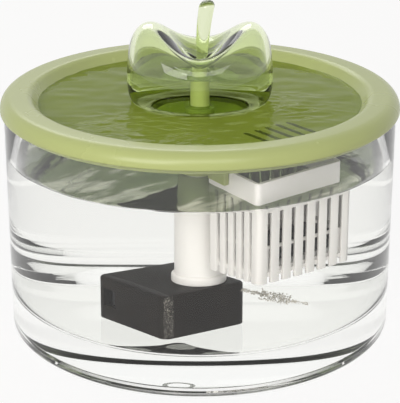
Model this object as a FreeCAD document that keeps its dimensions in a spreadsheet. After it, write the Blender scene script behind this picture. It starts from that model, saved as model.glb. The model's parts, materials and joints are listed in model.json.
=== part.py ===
import FreeCAD, Part

import math
import os

import Sketcher

# Pet water fountain: a glass bowl, a green drinking tray with a clear apple, and a
# submerged pump that feeds the tray through a white riser beside a filter basket.
# Millimetres. The origin is the middle of the bowl's underside and +Z points up.

os.makedirs("parts", exist_ok=True)
doc = FreeCAD.newDocument("pet_water_fountain")
sheet = doc.addObject("Spreadsheet::Sheet", "Sizes")

DRIVING_SIZES = [
    # Bowl
    ("bowl_radius", 98.0, "outer radius of the glass bowl"),
    ("bowl_height", 117.9, "height of the glass rim"),
    ("bowl_wall", 4.0, "thickness of the glass wall"),
    ("bowl_floor", 21.0, "height of the inner floor"),
    ("bowl_foot_round", 6.0, "rounding of the outer lower edge"),
    ("bowl_floor_round", 7.0, "rounding of the inner floor edge"),
    ("bowl_rim_round", 1.2, "rounding of the rim edges"),
    ("bowl_recess_radius", 78.0, "radius of the shallow recess underneath"),
    ("bowl_recess_depth", 1.5, "depth of the recess underneath"),
    # Tray
    ("gasket_height", 1.4, "thickness of the ring between rim and tray"),
    ("gasket_inset", 0.4, "how far the gasket stays inside the glass edges"),
    ("lip_gap", 0.4, "gap between the glass and the tray's outer lip"),
    ("lip_wall", 1.6, "thickness of the tray's outer lip"),
    ("lip_drop", 2.0, "how far the lip hangs below the glass rim"),
    ("lip_round", 1.2, "rounding of the lip's lower edge"),
    ("skirt_gap", 0.8, "gap between the glass and the tray's inner skirt"),
    ("skirt_wall", 2.0, "thickness of the inner skirt"),
    ("skirt_drop", 5.0, "how far the skirt reaches below the glass rim"),
    ("ring_rise", 6.1, "height of the ring's crown above the glass rim"),
    ("ring_wall", 3.6, "thickness of the ring's crown"),
    ("ring_width", 15.0, "width of the rolled ring"),
    ("ring_outer_round", 6.4, "outer rounding of the ring"),
    ("ring_inner_round", 4.6, "inner rounding of the ring"),
    ("dish_sink", 0.9, "depth of the dish floor below the glass rim"),
    ("dish_wall", 2.4, "thickness of the dish floor"),
    ("dish_slope", 5.5, "plan width of the dish's sloping side"),
    ("dish_round", 3.0, "rounding between dish floor and side"),
    ("rib_count", 24.0, "seat ribs above the gasket"),
    ("rib_wall", 1.6, "thickness of one seat rib"),
    ("drain_count", 5.0, "drain slots in the dish"),
    ("drain_pitch", 6.6, "spacing of the drain slots"),
    ("drain_width", 3.0, "width of a drain slot"),
    ("drain_length", 20.0, "length of a drain slot"),
    # Water path
    ("riser_side", 24.0, "distance of the riser from the bowl's axis towards -X"),
    ("riser_stand", 14.3, "distance of the riser's middle from the basket's back"),
    ("riser_radius", 10.0, "outer radius of the riser pipe"),
    ("socket_depth", 10.0, "depth of the riser's socket below the duct cover"),
    ("riser_flange_radius", 11.3, "radius of the riser's foot flange"),
    ("riser_flange_height", 4.5, "height of the foot flange"),
    ("riser_neck_radius", 7.5, "outer radius of the riser's neck"),
    ("neck_gap", 0.4, "gap between the riser's neck and the duct cover"),
    ("riser_bore", 5.4, "radius of the riser's bore"),
    ("socket_gap", 0.15, "gap round the riser's neck in its socket"),
    ("socket_radius", 10.6, "outer radius of the socket under the tray"),
    ("duct_width", 13.0, "inner width of the duct under the dish"),
    ("duct_wall", 2.0, "wall of the duct"),
    ("duct_depth", 8.6, "depth of the duct below the dish floor"),
    ("duct_cover", 2.0, "thickness of the duct's cover"),
    ("cover_lip", 1.5, "height of the cover's locating lip"),
    ("cover_gap", 0.15, "gap round the cover's locating lip"),
    ("spout_radius", 4.0, "outer radius of the spout tube"),
    ("spout_bore", 2.7, "radius of the spout tube's bore"),
    ("spout_rise", 15.0, "height of the spout tube's mouth above the dish floor"),
    ("spout_tail", 3.0, "length of the tube below the dish floor"),
    ("spout_collar", 6.0, "radius of the tube's collar"),
    ("collar_height", 1.5, "height of the tube's collar"),
    ("spout_gap", 0.05, "gap round the tube in the dish floor"),
    # Apple
    ("apple_width", 71.0, "width of the apple across its two lobes"),
    ("apple_height", 42.7, "height of the apple's lobes"),
    ("apple_wall", 2.4, "thickness of the apple's wall"),
    ("apple_mouth", 19.0, "radius of the opening under the apple"),
    ("apple_foot", 0.6, "depth of the flat foot under the apple"),
    ("apple_turn", -38.0, "direction of the apple's wide axis"),
    ("stem_length", 30.3, "length of the stem"),
    ("stem_radius", 2.8, "radius of the stem at its foot"),
    ("stem_tip_radius", 4.1, "radius of the stem at its tip"),
    ("stem_offset", 1.0, "place of the stem's foot from the apple's middle"),
    ("stem_lean", 3.0, "sideways lean of the stem's tip"),
    ("stem_gap", 0.3, "gap round the stem's foot in its seat"),
    # Filter basket
    ("basket_x", -4.6, "middle of the basket along X"),
    ("basket_inset", 31.2, "distance of the basket's middle from the glass"),
    ("basket_length", 51.8, "length of the basket"),
    ("basket_width", 37.0, "width of the basket"),
    ("basket_height", 49.0, "height of the basket"),
    ("basket_hang", 10.8, "distance of the basket's rim below the dish"),
    ("basket_wall", 1.8, "thickness of the basket's walls"),
    ("basket_round", 2.4, "rounding of the basket's upright edges"),
    ("band_height", 14.0, "height of the plain band at the rim"),
    ("teeth_drop", 3.0, "how far the bars reach below the floor"),
    ("basket_floor", 2.0, "thickness of the basket's floor"),
    ("side_slots", 7.0, "slots in each long side"),
    ("side_pitch", 6.6, "spacing of the slots in a long side"),
    ("end_slots", 5.0, "slots in each end"),
    ("end_pitch", 5.8, "spacing of the slots in an end"),
    ("slot_width", 2.3, "width of a slot"),
    ("floor_slit", 26.0, "length of the slits in the basket's floor"),
    ("clip_width", 12.0, "width of the tray's clips"),
    ("clip_tab", 2.6, "thickness of a clip's tabs"),
    ("clip_gap", 0.3, "gap between a clip and the basket's wall"),
    ("clip_reach", 6.2, "how far a clip's outer tab covers the basket"),
    ("clip_inner_reach", 3.5, "how far a clip's inner tab reaches down"),
    ("clip_offset", 7.8, "how far the clips stand from the basket's middle"),
    # Filter cartridge
    ("cartridge_gap", 0.5, "gap round the cartridge in the basket"),
    ("cartridge_height", 13.0, "height of the cartridge frame"),
    ("cartridge_wall", 1.2, "thickness of the cartridge frame"),
    ("cartridge_post", 5.0, "width of the frame's corner posts"),
    ("cartridge_band", 1.6, "height of the frame's rims"),
    ("cartridge_ledge", 3.0, "width of the ledge that carries the filling"),
    ("pad_height", 2.5, "thickness of the filter pad"),
    ("bed_height", 7.5, "thickness of the carbon bed"),
    ("fill_gap", 0.3, "gap round the filling"),
    # Pump casing
    ("pump_length", 44.0, "length of the pump along X"),
    ("pump_width", 44.0, "width of the pump along Y"),
    ("pump_height", 22.0, "height of the pump"),
    ("pump_lift", 1.0, "gap that the suction cups hold below the pump"),
    ("pump_wall", 1.8, "wall of the pump casing"),
    ("pump_round", 4.0, "rounding of the casing's upright edges"),
    ("pump_edge", 1.6, "rounding of the casing's upper edges"),
    ("riser_in_pump_x", 8.0, "riser's place from the pump's middle along X"),
    ("riser_in_pump_y", -8.0, "riser's place from the pump's middle along Y"),
    ("cover_depth", 5.0, "depth of the intake cover"),
    ("window_width", 8.0, "width of the intake window"),
    ("window_height", 9.0, "height of the intake window"),
    ("window_side", 4.0, "distance of the window from the cover's side"),
    ("window_sill", 7.0, "height of the window's sill above the pump's bottom"),
    ("tongue_length", 4.0, "length of the intake cover's tongues"),
    ("tongue_width", 14.0, "width of the intake cover's tongues"),
    ("tongue_wall", 1.2, "thickness of the intake cover's tongues"),
    ("slider_wall", 1.0, "thickness of the flow slider"),
    ("slider_margin", 1.0, "overlap of the slider round the window"),
    ("slider_gap", 0.3, "gap round the slider in its rails"),
    ("rail_wall", 1.0, "thickness of the slider's rails"),
    ("rail_lip", 0.9, "how far a rail's lip covers the slider"),
    ("base_wall", 3.2, "thickness of the pump's base plate"),
    ("base_gap", 0.3, "gap between base plate and casing"),
    ("cup_radius", 6.0, "radius of a suction cup"),
    ("cup_place", 12.0, "place of the cups from the base plate's middle"),
    ("cup_neck", 1.5, "radius of a cup's neck"),
    ("cup_button", 2.6, "radius of the button that holds a cup"),
    ("cup_button_height", 1.1, "height of that button"),
    ("cup_button_room", 1.2, "depth of the recess for the button"),
    ("cup_recess", 1.2, "depth of the recess for a cup"),
    ("sponge_length", 11.0, "thickness of the sponge behind the intake"),
    # Motor
    ("motor_width", 23.0, "width of the motor housing"),
    ("motor_height", 16.4, "height of the motor housing"),
    ("chamber_depth", 8.0, "depth of the impeller chamber"),
    ("chamber_radius", 7.2, "radius of the impeller chamber"),
    ("well_radius", 4.6, "radius of the rotor well"),
    ("well_depth", 17.0, "depth of the rotor well"),
    ("well_wall", 0.8, "wall of the rotor well"),
    ("motor_tail", 4.0, "solid length behind the rotor well"),
    ("stator_wall", 1.4, "wall of the housing round the stator"),
    ("stator_length", 12.0, "length of the stator"),
    ("stator_gap", 0.2, "gap round the stator"),
    ("nozzle_radius", 5.8, "outer radius of the outlet nozzle"),
    ("nozzle_bore", 4.4, "radius of the nozzle's bore"),
    ("nozzle_height", 10.4, "height of the nozzle above the housing"),
    ("nozzle_gap", 0.7, "gap round the nozzle in the riser"),
    ("seal_depth", 0.6, "depth of the seal's groove"),
    ("seal_height", 1.8, "height of the seal"),
    ("seal_place", 5.0, "distance of the seal from the nozzle's mouth"),
    ("seal_proud", 0.4, "how far the seal stands out of its groove"),
    ("cover_plate", 2.0, "thickness of the chamber's cover and the end cap"),
    ("eye_radius", 5.0, "radius of the inlet eye"),
    ("eye_hub", 2.8, "radius of the hub in the eye"),
    ("eye_arm", 1.5, "width of the arms that hold the hub"),
    ("bush_radius", 1.9, "outer radius of a shaft bush"),
    ("bush_length", 1.7, "length of a shaft bush"),
    ("fit_gap", 0.05, "gap of a press or running fit, measured on the radius"),
    ("shaft_radius", 1.0, "radius of the shaft"),
    ("hub_radius", 2.6, "radius of the impeller's hub"),
    ("stem_tube_radius", 2.1, "radius of the impeller's tail tube"),
    ("blade_count", 6.0, "blades of the impeller"),
    ("blade_wall", 0.9, "thickness of a blade"),
    ("blade_gap", 0.8, "gap between blades and chamber"),
    ("back_plate", 1.0, "thickness of the impeller's back plate"),
    ("end_gap", 0.3, "end play of the rotor"),
    ("magnet_radius", 4.0, "outer radius of the rotor magnet"),
    ("magnet_length", 13.0, "length of the rotor magnet"),
    ("screw_head", 1.6, "radius of a screw head"),
    ("screw_head_height", 1.2, "height of a screw head"),
    ("screw_shank", 0.9, "radius of a screw shank"),
    ("screw_length", 5.5, "length of a screw shank"),
    ("screw_margin", 2.2, "distance of the screws from the housing's edges"),
    ("gland_radius", 3.0, "radius of the cable gland"),
    ("gland_flange", 4.2, "radius of the gland's flange"),
    ("gland_flange_height", 1.2, "thickness of the gland's flange"),
    ("gland_bore", 1.6, "radius of the gland's bore"),
]


class Size:
    """A size with its value and the expression that the document binds to it."""

    def __init__(self, value, text):
        self.value = value
        self.text = text

    def __add__(self, other):
        other = as_size(other)
        return Size(self.value + other.value, f"({self.text} + {other.text})")

    def __sub__(self, other):
        other = as_size(other)
        return Size(self.value - other.value, f"({self.text} - {other.text})")

    def __mul__(self, other):
        other = as_size(other)
        return Size(self.value * other.value, f"({self.text} * {other.text})")

    def __truediv__(self, other):
        other = as_size(other)
        return Size(self.value / other.value, f"({self.text} / {other.text})")

    def __neg__(self):
        return Size(-self.value, f"(0 - {self.text})")

    def __radd__(self, other):
        return as_size(other) + self

    def __rsub__(self, other):
        return as_size(other) - self

    def __rmul__(self, other):
        return as_size(other) * self


def as_size(number):
    """A plain number joins sums as a size of its own."""
    if isinstance(number, Size):
        return number
    return Size(float(number), repr(float(number)))


def root(square):
    return Size(math.sqrt(square.value), f"sqrt({square.text})")


def bearing(across, along):
    """The direction of a point, turned from the X axis."""
    angle = math.degrees(math.atan2(along.value, across.value))
    return Size(angle, f"atan2({along.text}; {across.text})")


class SizeTable:
    """Driving sizes, one attribute for each row of the sheet."""


def fill_sheet(rows):
    table = SizeTable()
    for number, (alias, value, note) in enumerate(rows, start=1):
        sheet.set(f"A{number}", note)
        sheet.set(f"B{number}", str(value))
        sheet.setAlias(f"B{number}", alias)
        setattr(table, alias, Size(value, f"Sizes.{alias}"))
    doc.recompute()
    return table


d = fill_sheet(DRIVING_SIZES)
ZERO = as_size(0)
subparts = []


# Helpers for bodies, sketches and features

def new_body(label):
    part = doc.addObject("PartDesign::Body", label)
    part.Label = label
    subparts.append(part)
    return part


def origin_feature(part, role):
    for feature in part.Origin.OriginFeatures:
        if feature.Role == role:
            return feature
    raise ValueError(role)


def new_sketch(part, role, name, lift=ZERO, turn=None):
    """A sketch on one of the body's own origin planes, lifted along its normal."""
    drawing = part.newObject("Sketcher::SketchObject", name)
    drawing.AttachmentSupport = [(origin_feature(part, role), "")]
    drawing.MapMode = "FlatFace"
    angle = turn.value if turn else 0.0
    spin = FreeCAD.Rotation(FreeCAD.Vector(0, 0, 1), angle)
    drawing.AttachmentOffset = FreeCAD.Placement(FreeCAD.Vector(0, 0, lift.value), spin)
    drawing.setExpression("AttachmentOffset.Base.z", lift.text)
    if turn:
        drawing.setExpression("AttachmentOffset.Rotation.Angle", turn.text)
    return drawing


def bind(drawing, constraint, text):
    index = drawing.addConstraint(constraint)
    drawing.setExpression(f"Constraints[{index}]", text)


def add_outline(drawing, corners):
    """A closed run of straight edges, each corner held at its two coordinates."""
    sizes = [(as_size(across), as_size(along)) for across, along in corners]
    places = [FreeCAD.Vector(across.value, along.value, 0) for across, along in sizes]
    start = drawing.GeometryCount
    count = len(places)
    for index in range(count):
        edge = Part.LineSegment(places[index], places[(index + 1) % count])
        drawing.addGeometry(edge, False)
    for index in range(count):
        here = start + index
        after = start + (index + 1) % count
        drawing.addConstraint(Sketcher.Constraint("Coincident", here, 2, after, 1))
    for index, (across, along) in enumerate(sizes):
        here = start + index
        bind(drawing, Sketcher.Constraint("DistanceX", here, 1, across.value), across.text)
        bind(drawing, Sketcher.Constraint("DistanceY", here, 1, along.value), along.text)


def add_rectangle(drawing, left, right, low, high):
    add_outline(drawing, [(left, low), (right, low), (right, high), (left, high)])


def add_circle(drawing, across, along, radius):
    across = as_size(across)
    along = as_size(along)
    centre = FreeCAD.Vector(across.value, along.value, 0)
    ring = Part.Circle(centre, FreeCAD.Vector(0, 0, 1), radius.value)
    index = drawing.addGeometry(ring, False)
    bind(drawing, Sketcher.Constraint("DistanceX", index, 3, across.value), across.text)
    bind(drawing, Sketcher.Constraint("DistanceY", index, 3, along.value), along.text)
    bind(drawing, Sketcher.Constraint("Radius", index, radius.value), radius.text)


def add_stadium(drawing, length, radius):
    """A slot outline round the sketch's X axis, from the origin to its length."""
    start = drawing.GeometryCount
    far = length.value
    size = radius.value
    flat = FreeCAD.Vector(0, 0, 1)
    near_ring = Part.Circle(FreeCAD.Vector(0, 0, 0), flat, size)
    far_ring = Part.Circle(FreeCAD.Vector(far, 0, 0), flat, size)
    half = math.pi / 2
    drawing.addGeometry(Part.ArcOfCircle(near_ring, half, 3 * half), False)
    low_edge = Part.LineSegment(FreeCAD.Vector(0, -size, 0), FreeCAD.Vector(far, -size, 0))
    drawing.addGeometry(low_edge, False)
    drawing.addGeometry(Part.ArcOfCircle(far_ring, -half, half), False)
    high_edge = Part.LineSegment(FreeCAD.Vector(far, size, 0), FreeCAD.Vector(0, size, 0))
    drawing.addGeometry(high_edge, False)
    near_arc, low, far_arc, high = start, start + 1, start + 2, start + 3
    drawing.addConstraint(Sketcher.Constraint("Tangent", near_arc, 2, low, 1))
    drawing.addConstraint(Sketcher.Constraint("Tangent", low, 2, far_arc, 1))
    drawing.addConstraint(Sketcher.Constraint("Tangent", far_arc, 2, high, 1))
    drawing.addConstraint(Sketcher.Constraint("Tangent", high, 2, near_arc, 1))
    drawing.addConstraint(Sketcher.Constraint("Coincident", near_arc, 3, -1, 1))
    drawing.addConstraint(Sketcher.Constraint("PointOnObject", far_arc, 3, -1))
    bind(drawing, Sketcher.Constraint("DistanceX", far_arc, 3, far), length.text)
    bind(drawing, Sketcher.Constraint("Radius", near_arc, size), radius.text)


def add_pad(part, drawing, length, midplane=False, reverse=False):
    feature = part.newObject("PartDesign::Pad", drawing.Name + "_pad")
    feature.Profile = drawing
    feature.Length = length.value
    feature.setExpression("Length", length.text)
    feature.Midplane = midplane
    feature.Reversed = reverse
    doc.recompute()
    return feature


def add_pocket(part, drawing, length, midplane=False):
    """Cut along the sketch's normal, on the side where the body has material."""
    before = part.Shape.Volume
    feature = part.newObject("PartDesign::Pocket", drawing.Name + "_pocket")
    feature.Profile = drawing
    feature.Length = length.value
    feature.setExpression("Length", length.text)
    feature.Midplane = midplane
    doc.recompute()
    if part.Shape.Volume > before - 1e-3:
        feature.Reversed = True
        doc.recompute()
    if part.Shape.Volume > before - 1e-3:
        raise RuntimeError(f"{feature.Name} cuts nothing")
    return feature


def add_revolution(part, drawing):
    feature = part.newObject("PartDesign::Revolution", drawing.Name + "_turned")
    feature.Profile = drawing
    feature.ReferenceAxis = (drawing, ["V_Axis"])
    feature.Angle = 360.0
    doc.recompute()
    return feature


def add_polar_pattern(part, source, count):
    pattern = part.newObject("PartDesign::PolarPattern", source.Name + "_round")
    pattern.Originals = [source]
    pattern.Axis = (origin_feature(part, "Z_Axis"), [""])
    pattern.Angle = 360.0
    pattern.Occurrences = int(count.value)
    pattern.setExpression("Occurrences", count.text)
    part.Tip = pattern
    doc.recompute()
    return pattern


def add_linear_pattern(part, source, role, count, pitch):
    pattern = part.newObject("PartDesign::LinearPattern", source.Name + "_row")
    pattern.Originals = [source]
    pattern.Direction = (origin_feature(part, role), [""])
    span = pitch * (count - 1)
    pattern.Length = span.value
    pattern.setExpression("Length", span.text)
    pattern.Occurrences = int(count.value)
    pattern.setExpression("Occurrences", count.text)
    part.Tip = pattern
    doc.recompute()
    return pattern


def add_fillet(part, edges, radius):
    feature = part.newObject("PartDesign::Fillet", part.Name + "_fillet")
    feature.Base = edges
    feature.Radius = radius.value
    feature.setExpression("Radius", radius.text)
    doc.recompute()
    return feature


def ring_edges(part, radius, height):
    """The body's round edges of one radius at one height."""
    names = []
    for number, edge in enumerate(part.Tip.Shape.Edges, start=1):
        curve = edge.Curve
        if not isinstance(curve, Part.Circle):
            continue
        near = abs(curve.Radius - radius.value) < 1e-4
        level = abs(curve.Center.z - height.value) < 1e-4
        if near and level:
            names.append(f"Edge{number}")
    if not names:
        raise RuntimeError(f"{part.Label} has no round edge at {radius.value}")
    return (part.Tip, names)


def upright_edges(part, left=None):
    """The body's straight upright edges, or only those at one X."""
    names = []
    for number, edge in enumerate(part.Tip.Shape.Edges, start=1):
        if not isinstance(edge.Curve, Part.Line):
            continue
        first, last = edge.Vertexes[0].Point, edge.Vertexes[-1].Point
        upright = abs(first.x - last.x) < 1e-6 and abs(first.y - last.y) < 1e-6
        chosen = left is None or abs(first.x - left.value) < 1e-4
        if upright and chosen:
            names.append(f"Edge{number}")
    return (part.Tip, names)


def top_edges(part, height, skip_x=None):
    """The edges that lie flat at one height, apart from a straight one at one X."""
    names = []
    for number, edge in enumerate(part.Tip.Shape.Edges, start=1):
        box = edge.BoundBox
        flat = abs(box.ZMin - height.value) < 1e-4 and abs(box.ZMax - height.value) < 1e-4
        if not flat:
            continue
        at_skip = skip_x is not None and abs(box.XMin - skip_x.value) < 1e-4
        if at_skip and abs(box.XMax - skip_x.value) < 1e-4:
            continue
        names.append(f"Edge{number}")
    return (part.Tip, names)


def add_block(part, name, x_span, y_span, z_span):
    """A box between two values along each axis."""
    drawing = new_sketch(part, "XY_Plane", name, as_size(z_span[0]))
    add_rectangle(drawing, x_span[0], x_span[1], y_span[0], y_span[1])
    return add_pad(part, drawing, as_size(z_span[1]) - z_span[0])


def cut_block(part, name, x_span, y_span, z_span):
    """A box-shaped cut that opens upwards from its lower value."""
    drawing = new_sketch(part, "XY_Plane", name, as_size(z_span[1]))
    add_rectangle(drawing, x_span[0], x_span[1], y_span[0], y_span[1])
    return add_pocket(part, drawing, as_size(z_span[1]) - z_span[0])


def add_turned(part, name, corners):
    """A solid of revolution round Z, from radius and height pairs."""
    drawing = new_sketch(part, "XZ_Plane", name)
    add_outline(drawing, corners)
    return add_revolution(part, drawing)


def place(part, across, along, height, axis=(0, 0, 1), angle=ZERO):
    turn = FreeCAD.Rotation(FreeCAD.Vector(*axis), angle.value)
    spot = FreeCAD.Vector(across.value, along.value, height.value)
    part.Placement = FreeCAD.Placement(spot, turn)
    part.setExpression("Placement.Base.x", across.text)
    part.setExpression("Placement.Base.y", along.text)
    part.setExpression("Placement.Base.z", height.text)
    if angle.value:
        part.setExpression("Placement.Rotation.Angle", angle.text)
    doc.recompute()


# Heights and radii that several pieces share
glass_inner = d.bowl_radius - d.bowl_wall
gasket_top = d.bowl_height + d.gasket_height
lip_inner = d.bowl_radius + d.lip_gap
ring_radius = lip_inner + d.lip_wall
ring_top = d.bowl_height + d.ring_rise
ring_inner = ring_radius - d.ring_width
ring_under = ring_top - d.ring_wall
skirt_outer = glass_inner - d.skirt_gap
skirt_inner = skirt_outer - d.skirt_wall
dish_top = d.bowl_height - d.dish_sink
dish_under = dish_top - d.dish_wall
dish_radius = ring_inner - d.dish_slope
duct_bottom = dish_under - d.duct_depth
socket_top = duct_bottom - d.duct_cover
basket_y = d.basket_inset - glass_inner
basket_top = dish_under - d.basket_hang
basket_bottom = basket_top - d.basket_height
riser_x = -d.riser_side
riser_y = basket_y + d.basket_width / 2 + d.riser_stand
riser_reach = root(riser_x * riser_x + riser_y * riser_y)
riser_bearing = bearing(riser_x, riser_y)
riser_top = socket_top - d.socket_depth
spout_top = dish_top + d.spout_rise
pump_bottom = d.bowl_floor + d.pump_lift
pump_top = pump_bottom + d.pump_height
pump_x = riser_x - d.riser_in_pump_x
pump_y = riser_y - d.riser_in_pump_y


# Bowl

def make_bowl():
    part = new_body("glass_bowl")
    bevel = d.bowl_recess_radius + d.bowl_recess_depth
    add_turned(part, "bowl_profile", [
        (0, d.bowl_recess_depth),
        (d.bowl_recess_radius, d.bowl_recess_depth),
        (bevel, 0),
        (d.bowl_radius, 0),
        (d.bowl_radius, d.bowl_height),
        (glass_inner, d.bowl_height),
        (glass_inner, d.bowl_floor),
        (0, d.bowl_floor),
    ])
    add_fillet(part, ring_edges(part, d.bowl_radius, ZERO), d.bowl_foot_round)
    add_fillet(part, ring_edges(part, glass_inner, d.bowl_floor), d.bowl_floor_round)
    add_fillet(part, ring_edges(part, d.bowl_radius, d.bowl_height), d.bowl_rim_round)
    add_fillet(part, ring_edges(part, glass_inner, d.bowl_height), d.bowl_rim_round)


# Tray

def make_gasket():
    part = new_body("rim_gasket")
    inner = glass_inner + d.gasket_inset
    outer = d.bowl_radius - d.gasket_inset
    add_turned(part, "gasket_profile", [
        (inner, d.bowl_height),
        (outer, d.bowl_height),
        (outer, gasket_top),
        (inner, gasket_top),
    ])


def make_tray():
    part = new_body("tray")
    lip_bottom = d.bowl_height - d.lip_drop
    skirt_bottom = d.bowl_height - d.skirt_drop
    add_turned(part, "tray_profile", [
        (0, dish_under),
        (dish_radius + d.dish_wall / 2, dish_under),
        (ring_inner + d.dish_wall, ring_under),
        (skirt_inner, ring_under),
        (skirt_inner, skirt_bottom),
        (skirt_outer, skirt_bottom),
        (skirt_outer, ring_under),
        (lip_inner, ring_under),
        (lip_inner, lip_bottom),
        (ring_radius, lip_bottom),
        (ring_radius, ring_top),
        (ring_inner, ring_top),
        (dish_radius, dish_top),
        (0, dish_top),
    ])
    add_fillet(part, ring_edges(part, ring_radius, ring_top), d.ring_outer_round)
    add_fillet(part, ring_edges(part, ring_inner, ring_top), d.ring_inner_round)
    add_fillet(part, ring_edges(part, dish_radius, dish_top), d.dish_round)
    add_fillet(part, ring_edges(part, ring_radius, lip_bottom), d.lip_round)
    add_seat_ribs(part)
    add_duct_walls(part)
    for side in (-1, 1):
        add_clip(part, side)
    add_drains(part)


def add_seat_ribs(part):
    """Short ribs in the rim channel that press on the gasket."""
    drawing = new_sketch(part, "XZ_Plane", "seat_rib")
    overlap = d.skirt_wall / 4
    add_rectangle(drawing, skirt_outer - overlap, lip_inner + overlap, gasket_top, ring_under + overlap)
    rib = add_pad(part, drawing, d.rib_wall, midplane=True)
    add_polar_pattern(part, rib, d.rib_count)


def add_duct_walls(part):
    """The open-bottomed channel from the riser to the spout, and the spout's hole."""
    overlap = d.dish_wall / 2
    outer_radius = d.duct_width / 2 + d.duct_wall
    walls = new_sketch(part, "XY_Plane", "duct_outer", duct_bottom, riser_bearing)
    add_stadium(walls, riser_reach, outer_radius)
    add_pad(part, walls, d.duct_depth + overlap)
    channel = new_sketch(part, "XY_Plane", "duct_inner", dish_under, riser_bearing)
    add_stadium(channel, riser_reach, d.duct_width / 2)
    add_pocket(part, channel, d.duct_depth)
    hole = new_sketch(part, "XY_Plane", "spout_hole", dish_top)
    add_circle(hole, 0, 0, d.spout_radius + d.spout_gap)
    add_pocket(part, hole, d.dish_wall)


def add_clip(part, side):
    """A clip that straddles the top edge of one end wall of the basket."""
    end = d.basket_x + side * d.basket_length / 2
    outside = end + side * d.clip_gap
    far_outside = outside + side * d.clip_tab
    inside = end - side * (d.basket_wall + d.clip_gap)
    far_inside = inside - side * d.clip_tab
    crest = basket_top + d.clip_gap
    top = dish_under + d.dish_wall / 2
    middle = basket_y + d.clip_offset
    name = "clip_left" if side < 0 else "clip_right"
    drawing = new_sketch(part, "XZ_Plane", name, -middle)
    add_outline(drawing, [
        (far_outside, basket_top - d.clip_reach),
        (outside, basket_top - d.clip_reach),
        (outside, crest),
        (inside, crest),
        (inside, basket_top - d.clip_inner_reach),
        (far_inside, basket_top - d.clip_inner_reach),
        (far_inside, top),
        (far_outside, top),
    ])
    add_pad(part, drawing, d.clip_width, midplane=True)


def add_drains(part):
    """Slots in the dish floor that let the water fall into the basket."""
    drawing = new_sketch(part, "XY_Plane", "drain", dish_top)
    left = d.basket_x + d.drain_pitch / 2 - d.drain_pitch * (d.drain_count - 1) / 2
    half = d.drain_width / 2
    low = basket_y - d.drain_length / 2
    add_rectangle(drawing, left - half, left + half, low, low + d.drain_length)
    slot = add_pocket(part, drawing, d.dish_wall)
    add_linear_pattern(part, slot, "X_Axis", d.drain_count, d.drain_pitch)


def make_duct_cover():
    part = new_body("duct_cover")
    outer_radius = d.duct_width / 2 + d.duct_wall
    lip_radius = d.duct_width / 2 - d.cover_gap
    plate = new_sketch(part, "XY_Plane", "cover_plate", socket_top)
    add_stadium(plate, riser_reach, outer_radius)
    add_pad(part, plate, d.duct_cover)
    lip = new_sketch(part, "XY_Plane", "cover_lip", duct_bottom)
    add_stadium(lip, riser_reach, lip_radius)
    add_pad(part, lip, d.cover_lip)
    socket = new_sketch(part, "XY_Plane", "riser_socket", riser_top)
    add_circle(socket, riser_reach, 0, d.socket_radius)
    add_pad(part, socket, duct_bottom - riser_top)
    bore = new_sketch(part, "XY_Plane", "socket_bore", riser_top)
    add_circle(bore, riser_reach, 0, d.riser_neck_radius + d.socket_gap)
    add_pocket(part, bore, socket_top - riser_top)
    port = new_sketch(part, "XY_Plane", "cover_port", duct_bottom + d.cover_lip)
    add_circle(port, riser_reach, 0, d.riser_bore)
    add_pocket(part, port, d.duct_cover + d.cover_lip)
    hollow = new_sketch(part, "XY_Plane", "lip_hollow", duct_bottom + d.cover_lip)
    add_stadium(hollow, riser_reach, lip_radius - d.cover_lip)
    add_pocket(part, hollow, d.cover_lip)
    place(part, ZERO, ZERO, ZERO, angle=riser_bearing)


def make_spout():
    part = new_body("spout_tube")
    tail = dish_under - d.spout_tail
    collar_top = dish_top + d.collar_height
    add_turned(part, "spout_profile", [
        (d.spout_bore, tail),
        (d.spout_radius, tail),
        (d.spout_radius, dish_top),
        (d.spout_collar, dish_top),
        (d.spout_collar, collar_top),
        (d.spout_radius, collar_top),
        (d.spout_radius, spout_top),
        (d.spout_bore, spout_top),
    ])


def make_riser():
    part = new_body("riser_pipe")
    foot_bore = d.nozzle_radius + d.nozzle_gap
    foot_top = pump_top + d.nozzle_height
    flange_top = pump_top + d.riser_flange_height
    neck_top = socket_top - d.neck_gap
    add_turned(part, "riser_profile", [
        (foot_bore, pump_top),
        (d.riser_flange_radius, pump_top),
        (d.riser_flange_radius, flange_top),
        (d.riser_radius, flange_top),
        (d.riser_radius, riser_top),
        (d.riser_neck_radius, riser_top),
        (d.riser_neck_radius, neck_top),
        (d.riser_bore, neck_top),
        (d.riser_bore, foot_top),
        (foot_bore, foot_top),
    ])
    add_fillet(part, ring_edges(part, d.riser_flange_radius, flange_top), d.riser_flange_height / 4)
    place(part, riser_x, riser_y, ZERO)


# Apple

# Half profile of the apple: share of the half width, share of the height
APPLE_PROFILE = [
    (0.0, 0.05),
    (0.40, 0.03),
    (0.82, -0.04),
    (0.985, 0.12),
    (0.97, 0.44),
    (0.93, 0.72),
    (0.70, 0.87),
    (0.40, 0.76),
    (0.22, 0.56),
    (0.10, 0.54),
    (0.0, 0.54),
]
APPLE_COLUMNS = 16
LOBE_REACH = 0.09
LOBE_RISE = 0.32
# Share of the height above which the lobes part from the saddle
LOBE_START = 0.3


def inset_profile(profile, depth):
    """The same half profile moved inwards by a wall's thickness."""
    moved = []
    last = len(profile) - 1
    for index, (reach, height) in enumerate(profile):
        before = profile[max(index - 1, 0)]
        after = profile[min(index + 1, last)]
        run = after[0] - before[0]
        rise = after[1] - before[1]
        length = math.hypot(run, rise)
        inward_reach = reach - depth * rise / length
        inward_height = height + depth * run / length
        moved.append((0.0 if index in (0, last) else inward_reach, inward_height))
    return moved


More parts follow.
